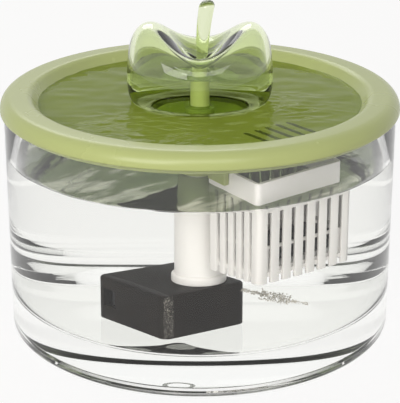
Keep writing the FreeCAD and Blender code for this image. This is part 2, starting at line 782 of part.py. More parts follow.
def apple_surface(profile, height):
    """A closed smooth surface through a control net with two lobes."""
    net = []
    for reach, level in profile:
        row = []
        for column in range(APPLE_COLUMNS):
            angle = 2 * math.pi * column / APPLE_COLUMNS
            lobe = math.cos(2 * angle)
            radius = reach * (1 + LOBE_REACH * lobe)
            upper = max(level / height - LOBE_START, 0.0) if reach else 0.0
            lifted = level + height * LOBE_RISE * lobe * upper
            row.append(FreeCAD.Vector(radius * math.cos(angle), radius * math.sin(angle), lifted))
        net.append(row)
    rows = len(net)
    surface = Part.BSplineSurface()
    inner_knots = [1] * (rows - 4)
    surface.buildFromPolesMultsKnots(
        net,
        [4] + inner_knots + [4],
        [1] * (APPLE_COLUMNS + 1),
        [float(number) for number in range(rows - 2)],
        [float(number) for number in range(APPLE_COLUMNS + 1)],
        False,
        True,
        3,
        3,
    )
    return surface


def closed_solid(surface):
    solid = Part.Solid(Part.Shell([Part.Face(surface)]))
    if solid.Volume < 0:
        solid.reverse()
    return solid


def make_apple():
    half = d.apple_width.value / 2
    height = d.apple_height.value
    outer_profile = [(reach * half, level * height) for reach, level in APPLE_PROFILE]
    inner_profile = inset_profile(outer_profile, d.apple_wall.value)
    outer = closed_solid(apple_surface(outer_profile, height))
    inner = closed_solid(apple_surface(inner_profile, height))
    foot = outer.optimalBoundingBox().ZMin + d.apple_foot.value
    room = 2 * half
    below = Part.makeBox(2 * room, 2 * room, room, FreeCAD.Vector(-room, -room, foot - room))
    mouth = Part.makeCylinder(d.apple_mouth.value, height / 2, FreeCAD.Vector(0, 0, foot - height / 4))
    dimple = outer_profile[-1][1]
    seat_radius = d.stem_radius.value + d.stem_gap.value
    seat = Part.makeCylinder(seat_radius, height, FreeCAD.Vector(d.stem_offset.value, 0, dimple))
    shell = outer.cut(inner).cut(below).cut(mouth).cut(seat)
    part = doc.addObject("Part::Feature", "apple_shell")
    part.Label = "apple_shell"
    part.Shape = Part.Solid(shell.Solids[0])
    subparts.append(part)
    place(part, ZERO, ZERO, dish_top - foot, angle=d.apple_turn)
    return dish_top + (dimple - foot)


# Sections of the stem: share of its length, share of its full radius there
STEM_SECTIONS = [(0.0, 1.0), (0.3, 1.0), (0.65, 1.0), (0.88, 1.0), (0.97, 0.8), (1.0, 0.45)]


def make_stem(dimple_height):
    """A clear stem that leans over a little and thickens towards its tip."""
    part = new_body("apple_stem")
    sections = []
    for number, (share, fullness) in enumerate(STEM_SECTIONS):
        lift = d.stem_length * share
        drawing = new_sketch(part, "XY_Plane", f"stem_section_{number}", lift)
        shift = d.stem_offset + d.stem_lean * (share * share)
        grow = (d.stem_tip_radius - d.stem_radius) * share
        add_circle(drawing, shift, 0, (d.stem_radius + grow) * fullness)
        sections.append(drawing)
    loft = part.newObject("PartDesign::AdditiveLoft", "stem_loft")
    loft.Profile = sections[0]
    loft.Sections = sections[1:]
    doc.recompute()
    place(part, ZERO, ZERO, as_size(dimple_height) + d.fit_gap, angle=d.apple_turn)


# Filter basket and cartridge

def make_basket():
    part = new_body("filter_basket")
    half_length = d.basket_length / 2
    half_width = d.basket_width / 2
    height = d.basket_height
    add_block(part, "basket_outer", (-half_length, half_length), (-half_width, half_width), (0, height))
    add_fillet(part, upright_edges(part), d.basket_round)
    inner_length = half_length - d.basket_wall
    inner_width = half_width - d.basket_wall
    inside = new_sketch(part, "XY_Plane", "basket_inside", height)
    add_rectangle(inside, -inner_length, inner_length, -inner_width, inner_width)
    add_pocket(part, inside, height)
    slot_top = height - d.band_height
    add_slots(part, "side_slot", "XZ_Plane", "X_Axis", d.side_slots, d.side_pitch, slot_top)
    add_slots(part, "end_slot", "YZ_Plane", "Y_Axis", d.end_slots, d.end_pitch, slot_top)
    overlap = d.basket_wall / 4
    floor_x = (-inner_length - overlap, inner_length + overlap)
    floor_y = (-inner_width - overlap, inner_width + overlap)
    floor_z = (d.teeth_drop, d.teeth_drop + d.basket_floor)
    add_block(part, "basket_floor", floor_x, floor_y, floor_z)
    slit = new_sketch(part, "XY_Plane", "floor_slit", d.teeth_drop + d.basket_floor)
    left = -d.side_pitch * (d.side_slots - 1) / 2
    half_slot = d.slot_width / 2
    add_rectangle(slit, left - half_slot, left + half_slot, -d.floor_slit / 2, d.floor_slit / 2)
    cut = add_pocket(part, slit, d.basket_floor)
    add_linear_pattern(part, cut, "X_Axis", d.side_slots, d.side_pitch)
    place(part, d.basket_x, basket_y, basket_bottom)


def add_slots(part, name, plane_role, axis_role, count, pitch, slot_top):
    """A row of upright slots through two opposite walls, open at the bottom."""
    first = -pitch * (count - 1) / 2
    half = d.slot_width / 2
    drawing = new_sketch(part, plane_role, name)
    below = -d.basket_wall
    add_rectangle(drawing, first - half, first + half, below, slot_top)
    cut = add_pocket(part, drawing, d.basket_length * 2, midplane=True)
    add_linear_pattern(part, cut, axis_role, count, pitch)


cartridge_bottom = basket_bottom + d.teeth_drop + d.basket_floor
cartridge_half_length = d.basket_length / 2 - d.basket_wall - d.cartridge_gap
cartridge_half_width = d.basket_width / 2 - d.basket_wall - d.cartridge_gap
fill_half_length = cartridge_half_length - d.cartridge_wall - d.fill_gap
fill_half_width = cartridge_half_width - d.cartridge_wall - d.fill_gap


def make_cartridge_frame():
    part = new_body("cartridge_frame")
    long = cartridge_half_length
    wide = cartridge_half_width
    wall = d.cartridge_wall
    add_block(part, "frame_outer", (-long, long), (-wide, wide), (0, d.cartridge_height))
    cut_block(part, "frame_inside", (wall - long, long - wall), (wall - wide, wide - wall),
              (wall, d.cartridge_height))
    ledge = d.cartridge_ledge
    cut_block(part, "frame_bottom", (ledge - long, long - ledge), (ledge - wide, wide - ledge),
              (0, wall))
    low = d.cartridge_band
    high = d.cartridge_height - d.cartridge_band
    for name, role, half in (("frame_side", "XZ_Plane", long), ("frame_end", "YZ_Plane", wide)):
        window = new_sketch(part, role, name)
        add_rectangle(window, d.cartridge_post - half, half - d.cartridge_post, low, high)
        add_pocket(part, window, long * 4, midplane=True)
    place(part, d.basket_x, basket_y, cartridge_bottom)


def make_fillings():
    pad = new_body("filter_pad")
    long = fill_half_length
    wide = fill_half_width
    add_block(pad, "pad_block", (-long, long), (-wide, wide), (0, d.pad_height))
    add_fillet(pad, upright_edges(pad), d.cartridge_wall)
    place(pad, d.basket_x, basket_y, cartridge_bottom + d.cartridge_wall)
    bed = new_body("carbon_bed")
    add_block(bed, "bed_block", (-long, long), (-wide, wide), (0, d.bed_height))
    add_fillet(bed, upright_edges(bed), d.cartridge_wall)
    place(bed, d.basket_x, basket_y, cartridge_bottom + d.cartridge_wall + d.pad_height)


# Pump casing, in the pump's own frame: middle of its underside

half_pump = d.pump_length / 2
half_pump_width = d.pump_width / 2
cover_back = -half_pump + d.cover_depth
window_high_y = half_pump_width - d.window_side
window_low_y = window_high_y - d.window_width
window_top = d.window_sill + d.window_height
motor_axis_z = d.base_wall + d.motor_height / 2
slider_low_y = window_low_y + d.slider_margin - d.window_width - 2 * d.slider_margin


def place_in_pump(part):
    place(part, pump_x, pump_y, pump_bottom)


def make_casing():
    part = new_body("pump_casing")
    wall = d.pump_wall
    high = d.pump_height
    add_block(part, "casing_outer", (cover_back, half_pump), (-half_pump_width, half_pump_width), (0, high))
    add_fillet(part, upright_edges(part, left=half_pump), d.pump_round)
    add_fillet(part, top_edges(part, high, skip_x=cover_back), d.pump_edge)
    cut_block(part, "casing_inside", (cover_back - wall, half_pump - wall),
              (wall - half_pump_width, half_pump_width - wall), (-wall, high - wall))
    outlet = new_sketch(part, "XY_Plane", "casing_outlet", high)
    add_circle(outlet, d.riser_in_pump_x, d.riser_in_pump_y, d.nozzle_radius + d.clip_gap)
    add_pocket(part, outlet, wall)
    exit_hole = new_sketch(part, "XZ_Plane", "casing_gland_hole", -half_pump_width)
    add_circle(exit_hole, d.riser_in_pump_x, motor_axis_z, d.gland_radius + d.fit_gap)
    add_pocket(part, exit_hole, wall * 2, midplane=True)
    place_in_pump(part)


def make_intake_cover():
    part = new_body("intake_cover")
    wall = d.pump_wall
    high = d.pump_height
    add_block(part, "cover_outer", (-half_pump, cover_back), (-half_pump_width, half_pump_width), (0, high))
    add_fillet(part, upright_edges(part, left=-half_pump), d.pump_round)
    add_fillet(part, top_edges(part, high, skip_x=cover_back), d.pump_edge)
    cut_block(part, "cover_inside", (wall - half_pump, cover_back + wall),
              (wall - half_pump_width, half_pump_width - wall), (wall, high - wall))
    window = new_sketch(part, "YZ_Plane", "intake_window", -half_pump)
    add_rectangle(window, window_low_y, window_high_y, d.window_sill, window_top)
    add_pocket(part, window, wall * 2, midplane=True)
    add_rail(part, "low_rail", d.window_sill - d.slider_margin, -1)
    add_rail(part, "high_rail", window_top + d.slider_margin, 1)
    add_tongues(part)
    place_in_pump(part)


def add_rail(part, name, edge, outward):
    """A hooked rail that holds one edge of the flow slider against the cover."""
    wall_face = -half_pump + d.pump_wall
    near = edge + outward * d.slider_gap
    far = near + outward * d.rail_wall
    lip_edge = edge - outward * d.rail_lip
    root = wall_face - d.pump_wall / 4
    lip_low = wall_face + d.slider_wall + 2 * d.slider_gap
    lip_high = lip_low + d.rail_wall
    drawing = new_sketch(part, "XZ_Plane", name, -window_high_y)
    add_outline(drawing, [
        (root, far),
        (root, near),
        (lip_low, near),
        (lip_low, lip_edge),
        (lip_high, lip_edge),
        (lip_high, far),
    ])
    add_pad(part, drawing, window_high_y - slider_low_y)


def add_tongues(part):
    """Tongues that slip into the casing under its ceiling and beside its walls."""
    half = d.tongue_width / 2
    top = d.pump_height - d.pump_wall - d.base_gap
    low = top - d.tongue_wall
    root = cover_back - d.cover_depth / 2
    add_block(part, "top_tongue", (root, cover_back + d.tongue_length), (-half, half), (low, top))
    add_block(part, "tongue_root", (root, cover_back), (-half, half), (low, top + 2 * d.base_gap))


def make_flow_slider():
    part = new_body("flow_slider")
    front = -half_pump + d.pump_wall + d.slider_gap
    low = d.window_sill - d.slider_margin
    high = window_top + d.slider_margin
    right = slider_low_y + d.window_width + 2 * d.slider_margin
    add_block(part, "slider_plate", (front, front + d.slider_wall), (slider_low_y, right), (low, high))
    tab_low = d.window_sill + d.slider_gap
    tab_high = window_top - d.slider_gap
    tab_left = right - d.slider_margin + d.slider_gap
    add_block(part, "slider_tab", (-half_pump + d.slider_gap, front + d.slider_gap),
              (tab_left, right), (tab_low, tab_high))
    place_in_pump(part)


def make_base_plate():
    part = new_body("base_plate")
    reach = half_pump - d.pump_wall - d.base_gap
    side = half_pump_width - d.pump_wall - d.base_gap
    back = cover_back + d.base_gap
    add_block(part, "plate_block", (back, reach), (-side, side), (0, d.base_wall))
    for number, (across, along) in enumerate(cup_places()):
        recess = new_sketch(part, "XY_Plane", f"cup_recess_{number}", ZERO)
        add_circle(recess, across, along, d.cup_radius + d.slider_gap)
        add_pocket(part, recess, d.cup_recess)
        hole = new_sketch(part, "XY_Plane", f"cup_hole_{number}", d.base_wall)
        add_circle(hole, across, along, d.cup_neck + d.fit_gap)
        add_pocket(part, hole, d.base_wall)
        seat = new_sketch(part, "XY_Plane", f"button_seat_{number}", d.base_wall)
        add_circle(seat, across, along, d.cup_button + d.slider_gap)
        add_pocket(part, seat, d.cup_button_room)
    place_in_pump(part)


def cup_places():
    middle = (cover_back + half_pump) / 2
    places = []
    for across in (-1, 1):
        for along in (-1, 1):
            places.append((middle + across * d.cup_place, along * d.cup_place))
    return places


def group_copies(label, source, places):
    """One sub-part of several equal solids, each at its own place."""
    copies = []
    for across, along, height in places:
        solid = source.copy()
        solid.translate(FreeCAD.Vector(across, along, height))
        copies.append(solid)
    part = doc.addObject("Part::Feature", label)
    part.Label = label
    part.Shape = Part.makeCompound(copies)
    subparts.append(part)
    return part


def turned_solid(corners):
    """A solid of revolution round Z, made from plain radius and height pairs."""
    points = [FreeCAD.Vector(reach, 0, height) for reach, height in corners]
    wire = Part.makePolygon(points + [points[0]])
    return Part.Face(wire).revolve(FreeCAD.Vector(0, 0, 0), FreeCAD.Vector(0, 0, 1), 360)


def make_suction_cups():
    foot = -d.pump_lift.value
    recess = d.cup_recess.value
    button = d.base_wall.value - d.cup_button_room.value
    cup = turned_solid([
        (0, foot + d.pump_lift.value / 2),
        (d.cup_radius.value * 0.7, foot),
        (d.cup_radius.value, foot),
        (d.cup_radius.value * 0.8, recess * 0.5),
        (d.cup_neck.value * 1.5, recess),
        (d.cup_neck.value, recess),
        (d.cup_neck.value, button),
        (d.cup_button.value, button),
        (d.cup_neck.value, button + d.cup_button_height.value),
        (0, button + d.cup_button_height.value),
    ])
    places = [(across.value, along.value, 0) for across, along in cup_places()]
    place_in_pump(group_copies("suction_cups", cup, places))


def make_sponge():
    part = new_body("intake_sponge")
    left = cover_back + d.tongue_length + d.base_gap
    side = half_pump_width - d.pump_wall - d.base_gap
    top = d.pump_height - d.pump_wall - d.base_gap
    right = d.riser_in_pump_x - d.motor_width / 2 - d.base_gap
    add_block(part, "sponge_block", (right - d.sponge_length, right), (-side, side), (d.base_wall, top))
    if left.value > right.value - d.sponge_length.value:
        half = d.tongue_width / 2 + d.base_gap
        low = top - d.tongue_wall - d.base_gap
        cut_block(part, "tongue_room", (right - d.sponge_length - d.base_gap, left), (-half, half),
                  (low, top + d.base_gap))
    place_in_pump(part)


# Motor: the axis runs along Y through the riser's place

chamber_back = d.riser_in_pump_y + d.chamber_depth / 2
chamber_front = chamber_back - d.chamber_depth
well_end = chamber_back + d.well_depth
motor_back = well_end + d.motor_tail
motor_left = d.riser_in_pump_x - d.motor_width / 2
motor_right = d.riser_in_pump_x + d.motor_width / 2
motor_top = d.base_wall + d.motor_height


def bore_along_axis(part, name, radius, front, back):
    """A round cut along the motor's axis, from one place to another."""
    drawing = new_sketch(part, "XZ_Plane", name, -front)
    add_circle(drawing, d.riser_in_pump_x, motor_axis_z, radius)
    before = part.Shape.Volume
    feature = part.newObject("PartDesign::Pocket", name + "_bore")
    feature.Profile = drawing
    depth = back - front
    feature.Length = depth.value
    feature.setExpression("Length", depth.text)
    doc.recompute()
    if part.Shape.Volume > before - 1e-3:
        raise RuntimeError(f"{name} cuts nothing")
    return feature


def make_motor_housing():
    part = new_body("motor_housing")
    add_block(part, "housing_block", (motor_left, motor_right), (chamber_front, motor_back),
              (d.base_wall, motor_top))
    nozzle = new_sketch(part, "XY_Plane", "nozzle", motor_top)
    add_circle(nozzle, d.riser_in_pump_x, d.riser_in_pump_y, d.nozzle_radius)
    nozzle_top = d.pump_height + d.nozzle_height
    add_pad(part, nozzle, nozzle_top - motor_top)
    bore_along_axis(part, "chamber", d.chamber_radius, chamber_front, chamber_back)
    bore_along_axis(part, "rotor_well", d.well_radius, chamber_front, well_end)
    throat = new_sketch(part, "XY_Plane", "nozzle_bore", nozzle_top)
    add_circle(throat, d.riser_in_pump_x, d.riser_in_pump_y, d.nozzle_bore)
    add_pocket(part, throat, nozzle_top - motor_axis_z)
    cut_stator_room(part)
    cut_seal_groove(part, nozzle_top)
    for number, (across, height) in enumerate(screw_places()):
        hole = new_sketch(part, "XZ_Plane", f"screw_hole_{number}", -chamber_front)
        add_circle(hole, across, height, d.screw_shank + d.fit_gap)
        add_pocket(part, hole, d.screw_length)
    place_in_pump(part)


def cut_stator_room(part):
    """The room round the rotor well that holds the stator, open at the back."""
    room = new_sketch(part, "XZ_Plane", "stator_room", -motor_back)
    add_rectangle(room, motor_left + d.stator_wall, motor_right - d.stator_wall,
                  d.base_wall + d.stator_wall, motor_top - d.stator_wall)
    add_circle(room, d.riser_in_pump_x, motor_axis_z, d.well_radius + d.well_wall)
    add_pocket(part, room, d.stator_length + d.motor_tail / 2)


def cut_seal_groove(part, nozzle_top):
    low = nozzle_top - d.seal_place
    drawing = new_sketch(part, "XY_Plane", "seal_groove", low + d.seal_height)
    add_circle(drawing, d.riser_in_pump_x, d.riser_in_pump_y, d.nozzle_radius + d.seal_depth)
    add_circle(drawing, d.riser_in_pump_x, d.riser_in_pump_y, d.nozzle_radius - d.seal_depth)
    add_pocket(part, drawing, d.seal_height)


def make_nozzle_seal():
    part = new_body("nozzle_seal")
    low = d.pump_height + d.nozzle_height - d.seal_place
    inner = d.nozzle_radius - d.seal_depth
    outer = d.nozzle_radius + d.seal_proud
    high = low + d.seal_height
    add_turned(part, "seal_profile", [(inner, low), (outer, low), (outer, high), (inner, high)])
    place(part, riser_x, riser_y, pump_bottom)


def screw_places():
    reach = d.motor_width / 2 - d.screw_margin
    rise = d.motor_height / 2 - d.screw_margin
    places = []
    for across in (-1, 1):
        for up in (-1, 1):
            places.append((d.riser_in_pump_x + across * reach, motor_axis_z + up * rise))
    return places


def make_chamber_cover():
    part = new_body("chamber_cover")
    front = chamber_front - d.cover_plate
    add_block(part, "chamber_plate", (motor_left, motor_right), (front, chamber_front),
              (d.base_wall, motor_top))
    bore_along_axis(part, "inlet_eye", d.eye_radius, front, chamber_front)
    hub = new_sketch(part, "XZ_Plane", "eye_hub", -front)
    add_circle(hub, d.riser_in_pump_x, motor_axis_z, d.eye_hub)
    add_pad(part, hub, d.cover_plate, reverse=True)
    arm = new_sketch(part, "XZ_Plane", "eye_arm", -front)
    reach = d.eye_radius + d.eye_arm / 2
    add_rectangle(arm, d.riser_in_pump_x - reach, d.riser_in_pump_x + reach,
                  motor_axis_z - d.eye_arm / 2, motor_axis_z + d.eye_arm / 2)
    add_pad(part, arm, d.cover_plate, reverse=True)
    bore_along_axis(part, "hub_bore", d.bush_radius + d.fit_gap, front, chamber_front)
    for number, (across, height) in enumerate(screw_places()):
        hole = new_sketch(part, "XZ_Plane", f"cover_hole_{number}", -front)
        add_circle(hole, across, height, d.screw_shank + d.fit_gap)
        add_pocket(part, hole, d.cover_plate * 2, midplane=True)
    place_in_pump(part)


def make_end_cap():
    part = new_body("motor_end_cap")
    add_block(part, "cap_plate", (motor_left, motor_right), (motor_back, motor_back + d.cover_plate),
              (d.base_wall, motor_top))
    hole = new_sketch(part, "XZ_Plane", "cap_cable_hole", -motor_back)
    add_circle(hole, d.riser_in_pump_x, motor_axis_z, d.gland_bore)
    add_pocket(part, hole, d.cover_plate * 3, midplane=True)
    place_in_pump(part)


def place_on_axis(part, along):
    """Turn a piece made round Z so that its axis runs along the motor's axis."""
    height = pump_bottom + motor_axis_z
    place(part, riser_x, pump_y + along, height, axis=(-1, 0, 0), angle=as_size(90))


def make_bushes():
    inner = d.shaft_radius + d.fit_gap
    front_back = chamber_front
    for label, along in (("front_bush", front_back - d.bush_length), ("rear_bush", well_end - d.bush_length)):
        part = new_body(label)
        add_turned(part, label + "_profile", [
            (inner, 0),
            (d.bush_radius, 0),
            (d.bush_radius, d.bush_length),
            (inner, d.bush_length),
        ])
        place_on_axis(part, along)


def make_shaft():
    part = new_body("rotor_shaft")
    length = well_end - chamber_front + d.bush_length
    circle = new_sketch(part, "XY_Plane", "shaft_circle")
    add_circle(circle, 0, 0, d.shaft_radius)
    add_pad(part, circle, length)
    place_on_axis(part, chamber_front - d.bush_length)


def make_impeller():
    part = new_body("impeller")
    bore = d.shaft_radius + d.fit_gap
    blade_length = d.chamber_depth - 2 * d.end_gap - d.back_plate
    blade_tip = d.chamber_radius - d.blade_gap
    tail = d.well_depth - d.bush_length - d.end_gap
    plate_top = blade_length + d.back_plate
    add_turned(part, "impeller_profile", [
        (bore, 0),
        (d.hub_radius, 0),
        (d.hub_radius, blade_length),
        (blade_tip, blade_length),
        (blade_tip, plate_top),
        (d.stem_tube_radius, plate_top),
        (d.stem_tube_radius, plate_top + d.end_gap + tail),
        (bore, plate_top + d.end_gap + tail),
    ])
    blade = new_sketch(part, "XY_Plane", "blade")
    half = d.blade_wall / 2
    add_rectangle(blade, d.hub_radius - half, blade_tip, -half, half)
    fin = add_pad(part, blade, blade_length + d.back_plate / 2)
    add_polar_pattern(part, fin, d.blade_count)
    place_on_axis(part, chamber_front + d.end_gap)


def make_magnet():
    part = new_body("rotor_magnet")
    inner = d.stem_tube_radius + d.fit_gap
    add_turned(part, "magnet_profile", [
        (inner, 0),
        (d.magnet_radius, 0),
        (d.magnet_radius, d.magnet_length),
        (inner, d.magnet_length),
    ])
    place_on_axis(part, chamber_back + d.end_gap * 2)


def make_stator():
    part = new_body("stator")
    front = motor_back - d.stator_length - d.motor_tail / 2
    wall = d.stator_wall + d.stator_gap
    add_block(part, "stator_block", (motor_left + wall, motor_right - wall),
              (front, front + d.stator_length), (d.base_wall + wall, motor_top - wall))
    bore_along_axis(part, "stator_bore", d.well_radius + d.well_wall + d.stator_gap,
                    front, front + d.stator_length)
    place_in_pump(part)


def make_screws():
    front = -d.cover_plate.value
    screw = turned_solid([
        (0, front - d.screw_head_height.value),
        (d.screw_head.value, front - d.screw_head_height.value),
        (d.screw_head.value, front),
        (d.screw_shank.value, front),
        (d.screw_shank.value, d.screw_length.value - d.cover_plate.value),
        (0, d.screw_length.value - d.cover_plate.value),
    ])
    screw.rotate(FreeCAD.Vector(0, 0, 0), FreeCAD.Vector(-1, 0, 0), 90)
    places = [(across.value, chamber_front.value, height.value) for across, height in screw_places()]
    place_in_pump(group_copies("cover_screws", screw, places))


def make_gland():
    """The rubber gland where a supply lead would enter the casing."""
    part = new_body("cable_gland")
    end = half_pump_width - (motor_back + d.cover_plate)
    flange_top = end + d.gland_flange_height
    add_turned(part, "gland_profile", [
        (d.gland_bore, 0),
        (d.gland_radius, 0),
        (d.gland_radius, end),
        (d.gland_flange, end),
        (d.gland_flange, flange_top),
        (d.gland_bore, flange_top),
    ])
    place_on_axis(part, motor_back + d.cover_plate)


# Build every sub-part

make_bowl()
make_gasket()
make_tray()
make_duct_cover()
make_spout()
make_riser()
dimple_level = make_apple()
make_stem(dimple_level)
make_basket()
make_cartridge_frame()
make_fillings()
make_casing()
make_intake_cover()
make_flow_slider()
make_base_plate()
make_suction_cups()
make_sponge()
make_motor_housing()
make_nozzle_seal()
make_chamber_cover()
make_end_cap()
make_bushes()
make_shaft()
make_impeller()
make_magnet()
make_stator()
make_screws()
make_gland()


def check_document():
    """Stop before anything is written if an object has failed."""
    doc.recompute()
    for item in doc.Objects:
        if "Invalid" in item.State or "Error" in item.State:
            raise RuntimeError(f"{item.Label} is in state {item.State}")
    for part in subparts:
        if part.Shape.isNull() or not part.Shape.isValid():
            raise RuntimeError(f"{part.Label} has no valid shape")


check_document()
for part in subparts:
    part.Shape.exportStep(f"parts/{part.Label}.step")
    box = part.Shape.BoundBox
    print(f"{part.Label}: {len(part.Shape.Solids)} solid, {part.Shape.Volume / 1000:.2f} cm3, "
          f"x {box.XMin:.1f} to {box.XMax:.1f}, y {box.YMin:.1f} to {box.YMax:.1f}, "
          f"z {box.ZMin:.1f} to {box.ZMax:.1f}")
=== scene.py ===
import json
import math

import bmesh
import bpy
import numpy as np
from mathutils import Matrix, Vector, noise

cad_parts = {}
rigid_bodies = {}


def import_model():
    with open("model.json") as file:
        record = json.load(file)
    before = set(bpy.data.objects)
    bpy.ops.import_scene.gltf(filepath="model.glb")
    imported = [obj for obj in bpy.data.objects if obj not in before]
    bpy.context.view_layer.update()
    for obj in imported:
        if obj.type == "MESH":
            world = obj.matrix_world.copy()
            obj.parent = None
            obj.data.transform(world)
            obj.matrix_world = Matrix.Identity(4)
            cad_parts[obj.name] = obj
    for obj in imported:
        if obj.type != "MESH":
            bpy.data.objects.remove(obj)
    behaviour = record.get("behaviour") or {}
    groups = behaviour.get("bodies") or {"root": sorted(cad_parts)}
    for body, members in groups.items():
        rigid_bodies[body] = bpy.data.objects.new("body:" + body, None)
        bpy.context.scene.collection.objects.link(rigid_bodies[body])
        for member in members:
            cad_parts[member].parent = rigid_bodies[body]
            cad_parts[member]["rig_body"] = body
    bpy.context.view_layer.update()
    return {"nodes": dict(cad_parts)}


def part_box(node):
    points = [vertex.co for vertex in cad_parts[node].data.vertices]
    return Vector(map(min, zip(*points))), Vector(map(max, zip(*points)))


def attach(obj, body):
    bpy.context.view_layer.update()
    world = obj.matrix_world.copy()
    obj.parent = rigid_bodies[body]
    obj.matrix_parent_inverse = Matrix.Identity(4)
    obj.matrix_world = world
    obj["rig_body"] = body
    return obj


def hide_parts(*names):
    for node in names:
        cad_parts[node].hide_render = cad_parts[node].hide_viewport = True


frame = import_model()

# Pet water fountain, in metres. The bowl stands on the origin and +Z is up.

MM = 0.001

# Places read from the frame
bowl_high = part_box("glass_bowl")[1]
tray_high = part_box("tray")[1]
stem_low, stem_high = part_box("apple_stem")
basket_low, basket_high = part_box("filter_basket")
riser_low, riser_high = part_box("riser_pipe")
bed_low, bed_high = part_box("carbon_bed")
spout_low, spout_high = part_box("spout_tube")
pump_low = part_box("intake_cover")[0]
pump_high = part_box("pump_casing")[1]

# Sizes that several pieces share
ROUND_STEPS = 256
BOWL_RADIUS = bowl_high.x
BOWL_RIM = bowl_high.z
BOWL_WALL = 4 * MM
BOWL_FLOOR = 21 * MM
BOWL_INNER = BOWL_RADIUS - BOWL_WALL
FLOOR_ROUNDING = 7 * MM
RING_MARGIN = 0.15 * MM
RING_RADIUS = tray_high.x - RING_MARGIN
RING_TOP = tray_high.z
SPOUT_RISE = 15 * MM
DISH_TOP = spout_high.z - SPOUT_RISE
WATER_LEVEL = 93.8 * MM
WATER_CLIMB = 1.2 * MM
FILM_DEPTH = 2 * MM
FILM_LEVEL = DISH_TOP + FILM_DEPTH
FILM_BITE = 0.4 * MM
APPLE_TURN = Matrix.Rotation(math.radians(-38), 3, "Z")
FRONT_TURN = Matrix.Rotation(math.radians(38), 2)

# Refractive indices; the film's is low, so that the dish mirrors less of the studio
GLASS_INDEX = 1.5
PLASTIC_INDEX = 1.49
WATER_INDEX = 1.333
FILM_INDEX = 1.13


# Mesh helpers

def shade(piece, smooth_angle=None):
    """Smooth shading, kept sharp where faces meet at more than the angle."""
    mesh = piece.data
    mesh.polygons.foreach_set("use_smooth", [True] * len(mesh.polygons))
    if smooth_angle is not None:
        mesh.set_sharp_from_angle(angle=math.radians(smooth_angle))
    mesh.update()


def new_piece(name, vertices, faces, finish):
    mesh = bpy.data.meshes.new(name)
    mesh.from_pydata([tuple(point) for point in vertices], [], faces)
    mesh.validate()
    piece = bpy.data.objects.new(name, mesh)
    bpy.context.scene.collection.objects.link(piece)
    mesh.materials.append(finish)
    shade(piece)
    return piece


def closed_piece(name, vertices, faces, finish, smooth_angle):
    """A piece whose double points are joined and whose normals look outwards."""
    piece = new_piece(name, vertices, faces, finish)
    work = bmesh.new()
    work.from_mesh(piece.data)
    bmesh.ops.remove_doubles(work, verts=work.verts, dist=1e-7)
    bmesh.ops.recalc_face_normals(work, faces=work.faces)
    work.to_mesh(piece.data)
    work.free()
    shade(piece, smooth_angle)
    return piece


def round_corners(corners, steps):
    """An outline whose corners, given as radius, height and rounding, are arcs."""
    points = []
    count = len(corners)
    for index, (reach, height, rounding) in enumerate(corners):
        here = Vector((reach, height))
        if rounding <= 0:
            points.append(here)
            continue
        before = Vector(corners[index - 1][:2])
        after = Vector(corners[(index + 1) % count][:2])
        into = (before - here).normalized()
        away = (after - here).normalized()
        half = into.angle(away) / 2
        back = rounding / math.tan(half)
        centre = here + (into + away).normalized() * (rounding / math.sin(half))
        start = here + into * back - centre
        end = here + away * back - centre
        first = math.atan2(start.y, start.x)
        sweep = math.remainder(math.atan2(end.y, end.x) - first, 2 * math.pi)
        for step in range(steps + 1):
            angle = first + sweep * step / steps
            points.append(centre + rounding * Vector((math.cos(angle), math.sin(angle))))
    return points


def ring_row(vertices, reach, height, steps, middle=(0.0, 0.0)):
    """Adds a level ring of vertices, or one vertex on the axis, and returns its row."""
    first = len(vertices)
    if reach < 1e-7:
        vertices.append(Vector((*middle, height)))
        return [first]
    for step in range(steps):
        angle = 2 * math.pi * step / steps
        across, along = reach * math.cos(angle), reach * math.sin(angle)
        vertices.append(Vector((middle[0] + across, middle[1] + along, height)))
    return list(range(first, first + steps))


def even_rows(count, steps):
    """Rows of vertex numbers, where all rows run round with as many steps."""
    return [list(range(row * steps, (row + 1) * steps)) for row in range(count)]


def skin(rows):
    """Faces between each row and the next; a row of one vertex is a pole."""
    faces = []
    for low, high in zip(rows, rows[1:]):
        steps = max(len(low), len(high))
        if steps == 1:
            continue
        for step in range(steps):
            after = (step + 1) % steps
            if len(low) == 1:
                faces.append((low[0], high[after], high[step]))
            elif len(high) == 1:
                faces.append((low[step], low[after], high[0]))
            else:
                faces.append((low[step], low[after], high[after], high[step]))
    return faces


def turned(name, outline, finish, steps, smooth_angle=40, middle=(0.0, 0.0)):
    """A closed outline of radius and height turned round an upright axis."""
    vertices = []
    rows = [ring_row(vertices, reach, height, steps, middle) for reach, height in outline]
    return closed_piece(name, vertices, skin(rows + rows[:1]), finish, smooth_angle)


def extruded(name, outline, lift, finish):
    """A flat outline of 3-D points, moved along a vector into a closed solid."""
    count = len(outline)
    vertices = [Vector(point) for point in outline]
    vertices += [Vector(point) + Vector(lift) for point in outline]
    ends = [tuple(range(count - 1, -1, -1)), tuple(range(count, 2 * count))]
    return closed_piece(name, vertices, ends + skin(even_rows(2, count)), finish, 30)


def paint_where(piece, finish, chosen):
    """A second finish for the faces whose middle and normal are chosen."""
    piece.data.materials.append(finish)
    index = len(piece.data.materials) - 1
    for face in piece.data.polygons:
        if chosen(face.center, face.normal):
            face.material_index = index


def merged(name, pieces):
    """One mesh object from several."""
    with bpy.context.temp_override(active_object=pieces[0], selected_editable_objects=pieces):
        bpy.ops.object.join()
    pieces[0].name = name
    return pieces[0]


def settle(piece):
    """Turn a piece's modifiers into plain mesh."""
    graph = bpy.context.evaluated_depsgraph_get()
    mesh = bpy.data.meshes.new_from_object(piece.evaluated_get(graph))
    old = piece.data
    piece.modifiers.clear()
    piece.data = mesh
    bpy.data.meshes.remove(old)


